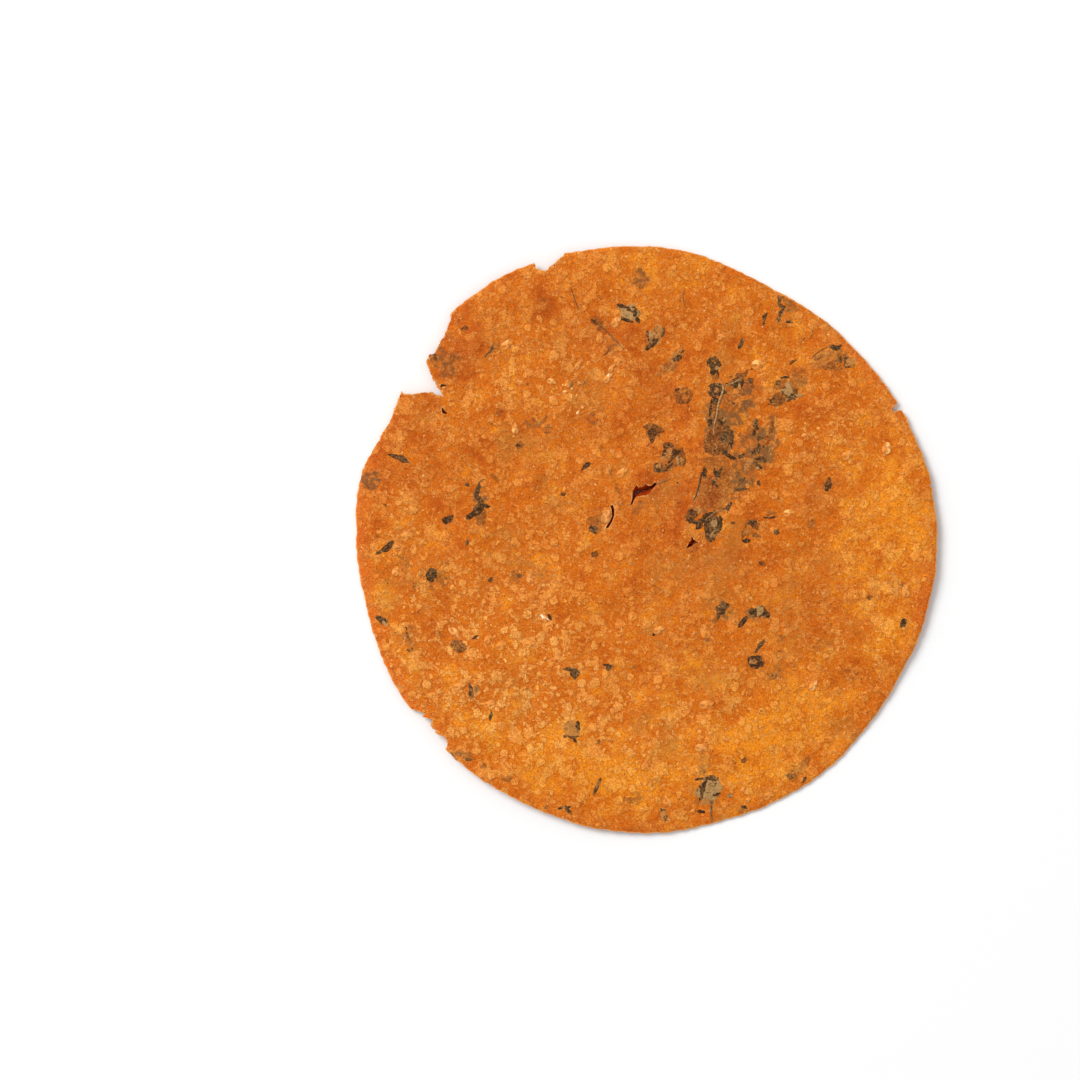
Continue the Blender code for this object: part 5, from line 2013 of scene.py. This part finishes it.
STRANDS = each(
    Strand,
    ((
        (18.2, 37.4), (18.5, 36.2), (17.8, 34.2), (17.1, 32), (16.9, 30), (16.4, 28.3), (16.1, 26.5),
        (16.2, 24.8),
    ), 0.27, 1),
    (((18.9, 37), (20.5, 37.4), (22, 38.2), (22.9, 39.1)), 0.2, 0.85),
    (((18, 20.8), (18.8, 20.6), (19.4, 20.4), (20.5, 19.5)), 0.24, 0),
    (((14.9, 28), (14.2, 26.4), (13.8, 24), (13.7, 21), (13.8, 18.6)), 0.08, 0.6),
    # A dark line and a pale line beside it: painted shade and painted highlight along the raised left edge
    # of a leaf.
    (((13.2, 16.2), (12.8, 14), (12.4, 12.4), (11.9, 10.6), (11.2, 9.2)), 0.21, 0),
    (((12.9, 13.2), (12.6, 11.8), (12.1, 10.2), (11.4, 8.9), (10.8, 7.9), (10, 6.9)), 0.12, 1.2),
    (((14.5, 4.4), (15.4, 5.2), (16.3, 6.1), (17.2, 6.6)), 0.14, 0),
    (((14.2, 4.8), (15.2, 5.7), (16.2, 6.5), (17.2, 6.9), (18, 6.9)), 0.1, 1),
    (((16.5, 21.6), (16.9, 22.2), (17.5, 22.9)), 0.1, 0.9),
    (((29.7, 22), (29.4, 20.9), (28.9, 20)), 0.11, 1.1),
    (((20.1, 16.9), (20.4, 15.2), (20.9, 13.8), (21.5, 12.8)), 0.09, 0.8),
    (((23.3, 14.6), (22.3, 13.4), (21.4, 12.2), (20.6, 10.9), (20.2, 9.4)), 0.08, 0.1),
    (((19.4, 17.6), (19.2, 15.6), (19.6, 13.8), (20.4, 12.2)), 0.07, 0.7),
    (((2.5, 13.3), (3.4, 13.5), (4.6, 13.9), (5.8, 14.6)), 0.08, 0.25),
    (((2.6, 13.6), (4, 14), (5.4, 14.8), (6.2, 15.3)), 0.08, 1),
    (((-8, 8.4), (-6.8, 8.7), (-5.4, 8.2), (-4.3, 8.5)), 0.07, 0.9),
    (((1.6, -11), (2.5, -11.6), (3.3, -11.9), (3.9, -12.5)), 0.07, 0.1),
    (((-18.2, 60.4), (-17.6, 58.8), (-17, 57), (-16.2, 54.8)), 0.13, 0.2),
    (((-12.2, 52), (-9.8, 50.2), (-7.8, 48.2), (-5.3, 45.4)), 0.13, 0.2),
    (((9.2, 60.1), (8.7, 58.4), (9.1, 56.6), (9.7, 54.8)), 0.12, 0.35),
    (((-9, 45.7), (-9.7, 44.6), (-10.8, 43.8)), 0.16, 0.1),
    (((-40.4, 13.4), (-39.8, 14.2), (-39, 14.5), (-38.3, 14.3)), 0.12, 0.2),
    (((-27.6, 28.9), (-26.9, 28.4), (-26.1, 28.2)), 0.12, 0.3),
    (((-26.2, 28.4), (-25.2, 28.1), (-24.2, 28)), 0.1, 1),
    (((-24, 27.2), (-23.2, 26.8), (-22.3, 26.8)), 0.1, 0.3),
    (((0.7, 23.2), (0.3, 22.6), (-0.2, 21.9)), 0.1, 0.2),
    (((-24.6, 25.7), (-23.6, 25.5), (-22.8, 25.8)), 0.1, 0.3),
    (((32.9, 58.5), (32.1, 58.3), (31.7, 57.4)), 0.13, 0.3),
    (((33, 54.8), (32.5, 53.9), (32.1, 53)), 0.11, 1.1),
    (((39.7, 43.4), (40.5, 44.5), (42.7, 45.9), (44.5, 46.9)), 0.1, 0.1),
    (((-38.8, 43.8), (-38.2, 44.6), (-37.4, 45.3)), 0.13, 0.2),
    (((-38.5, 43.6), (-37.9, 44.4), (-37.2, 45)), 0.07, 1),
    (((31.9, -31.9), (32, -32.7), (31.7, -33.4), (31.2, -34)), 0.1, 1.3),
    (((31.5, -26.6), (32.2, -26.9), (32.8, -27.6)), 0.09, 0.2),
    (((31.1, -26.7), (31.3, -28.2), (31.8, -29.4)), 0.09, 1.1),
    (((39.9, 50.1), (39.8, 48.9), (39.2, 48)), 0.09, 0.4),
    (((38.2, 48.6), (37.4, 47.8), (36.9, 47.2)), 0.1, 0.3),
    (((15.6, -62.9), (15.6, -65), (15.7, -66.6), (15.8, -68.4)), 0.21, 0.25),
    (((15.7, -62.9), (15.7, -65), (15.8, -66.6), (15.9, -68.3)), 0.1, 0.9),
)


@dataclass
class Strands:
    """The stalks and fibres, with the painted shade and highlight lines along a leaf edge, half sunk in the
    top.
    """

    surface: Surface
    paint: bpy.types.Material
    sides: int = 8
    step: float = 0.3 * MM
    sink: float = 0.35
    smoothing: int = 3
    thin_end: float = 0.35
    # How the radius swells along the strand: where the swell starts, and its lean to that end.
    swell_start: float = 0.12
    swell_lean: float = 0.8

    def build(self) -> bpy.types.Object:
        """Lay the strands, as one piece.

        Returns:
            The finished piece.
        """
        joined = bmesh.new()
        tan = joined.verts.layers.float.new("tan")
        for strand in STRANDS:
            self.add_strand(joined, tan, strand)
        bmesh.ops.recalc_face_normals(joined, faces=joined.faces)
        mesh = take_mesh(joined, "leaf_stalks")
        hold_down(mesh)
        mesh.shade_smooth()
        return show("leaf_stalks", mesh, self.paint)

    def centreline(self, strand: Strand) -> list[Vector]:
        """Points along the strand, close together, on the top of the dough.

        Args:
            strand: The strand.

        Returns:
            The points, in metres.
        """
        points = []
        for start, end in zip(strand.run, strand.run[1:]):
            count = max(1, round(math.dist(start, end) * MM / self.step))
            for step in range(count):
                share = step / count
                x = (start[0] + (end[0] - start[0]) * share) * MM
                y = (start[1] + (end[1] - start[1]) * share) * MM
                points.append(Vector((x, y, self.surface.top(x, y)[0])))
        smooth = points[:]
        for _turn in range(self.smoothing):
            middle = [(a + b + c) / 3.0 for a, b, c in zip(smooth, smooth[1:], smooth[2:])]
            smooth = [points[0], *middle, points[-1]]
        return smooth

    def add_strand(self, joined: bmesh.types.BMesh, tan: object, strand: Strand) -> None:
        """One tapering tube, a ring of points at each step of its centreline.

        Args:
            joined: The mesh to add it to.
            tan: The mesh's own value for how pale it is.
            strand: The strand.
        """
        line = self.centreline(strand)
        rings = []
        for index, point in enumerate(line):
            ahead = line[min(index + 1, len(line) - 1)] - line[max(index - 1, 0)]
            turn = Vector((0.0, 0.0, 1.0)).rotation_difference(ahead.normalized()).to_matrix().to_4x4()
            share = self.swell_start + (1.0 - self.swell_start) * (index / (len(line) - 1))
            swell = math.sin(math.pi * min(1.0, share) ** self.swell_lean)
            radius = strand.radius * MM * (self.thin_end + (1.0 - self.thin_end) * swell)
            spot = point + Vector((0.0, 0.0, strand.radius * MM * (1.0 - 2.0 * self.sink)))
            place = Matrix.Translation(spot) @ turn
            ring = bmesh.ops.create_circle(joined, segments=self.sides, radius=radius, matrix=place)
            for vertex in ring["verts"]:
                vertex[tan] = strand.tan
            rings.append(ring["verts"])
        for first, second in zip(rings, rings[1:]):
            bmesh.ops.bridge_loops(joined, edges=self.ring_edges(first) + self.ring_edges(second))
        for ring in (rings[0], rings[-1]):
            bmesh.ops.contextual_create(joined, geom=self.ring_edges(ring))

    def ring_edges(self, ring: list[bmesh.types.BMVert]) -> list[bmesh.types.BMEdge]:
        """The edges that close a ring of points."""
        members = set(ring)
        return list({edge for vertex in ring for edge in vertex.link_edges if set(edge.verts) <= members})


@dataclass(frozen=True)
class Studio:
    """Camera straight above at the photograph's framing, soft light from the upper left, white floor."""

    view_centre: Vector = Vector((-25.56 * MM, -0.12 * MM, 0.0))
    view_width: float = 259.2 * MM
    distance: float = 0.9
    sensor: float = 36.0
    top_height: float = 3.0 * MM
    lamp_place: Vector = Vector((-2.0, 1.6, 2.45))
    lamp_size: float = 1.9
    lamp_power: float = 102.0
    sky: float = 0.62
    floor_size: float = 3.0

    def build(self) -> None:
        """Set up the view and the light."""
        self.add_camera()
        self.add_lamp()
        self.add_sky()
        self.add_floor()
        bpy.context.scene.view_settings.view_transform = "Standard"

    def add_camera(self) -> None:
        """The camera."""
        lens = bpy.data.cameras.new("camera")
        lens.sensor_width = self.sensor
        lens.lens = self.sensor * self.distance / self.view_width
        lens.clip_start = 0.01
        lens.clip_end = 20.0
        camera = add_object("camera", lens)
        camera.location = self.view_centre + Vector((0.0, 0.0, self.distance + self.top_height))
        bpy.context.scene.camera = camera

    def add_lamp(self) -> None:
        """A soft box, aimed at the bread."""
        light = bpy.data.lights.new("soft_box", "AREA")
        light.shape = "SQUARE"
        light.size = self.lamp_size
        light.energy = self.lamp_power
        lamp = add_object("soft_box", light)
        lamp.location = self.lamp_place
        lamp.rotation_euler = (-self.lamp_place).to_track_quat("-Z", "Y").to_euler()

    def add_sky(self) -> None:
        """Even white light from all round."""
        world = bpy.data.worlds.new("studio")
        world.use_nodes = True
        back = world.node_tree.nodes["Background"]
        back.inputs["Color"].default_value = (1.0, 1.0, 1.0, 1.0)
        back.inputs["Strength"].default_value = self.sky
        bpy.context.scene.world = world

    def add_floor(self) -> None:
        """The white floor, which isn't part of the bread."""
        shape = bmesh.new()
        bmesh.ops.create_grid(shape, x_segments=1, y_segments=1, size=self.floor_size)
        mesh = take_mesh(shape, "floor")
        paint = bpy.data.materials.new("floor")
        paint.use_nodes = True
        shader = paint.node_tree.nodes["Principled BSDF"]
        shader.inputs["Base Color"].default_value = (0.9, 0.9, 0.9, 1.0)
        shader.inputs["Roughness"].default_value = 1.0
        shader.inputs["Specular IOR Level"].default_value = 0.0
        mesh.materials.append(paint)
        floor = add_object("floor", mesh)


def main() -> None:
    """Build the bread and its studio."""
    logging.basicConfig(level=logging.INFO, format="%(name)s %(message)s")
    groups = (SKIN.pattern_group(), SKIN.colour_group())
    dough = Dough(DoughFinish(*groups).paint(), SEEDS).build()
    surface = Surface(dough)
    SesameSeeds(surface, SeedFinish(*groups).paint()).build()
    LeafFlakes(surface, LeafFinish(*groups).paint()).build()
    Strands(surface, StalkFinish(*groups).paint()).build()
    Studio().build()


if __name__ == "__main__":
    main()
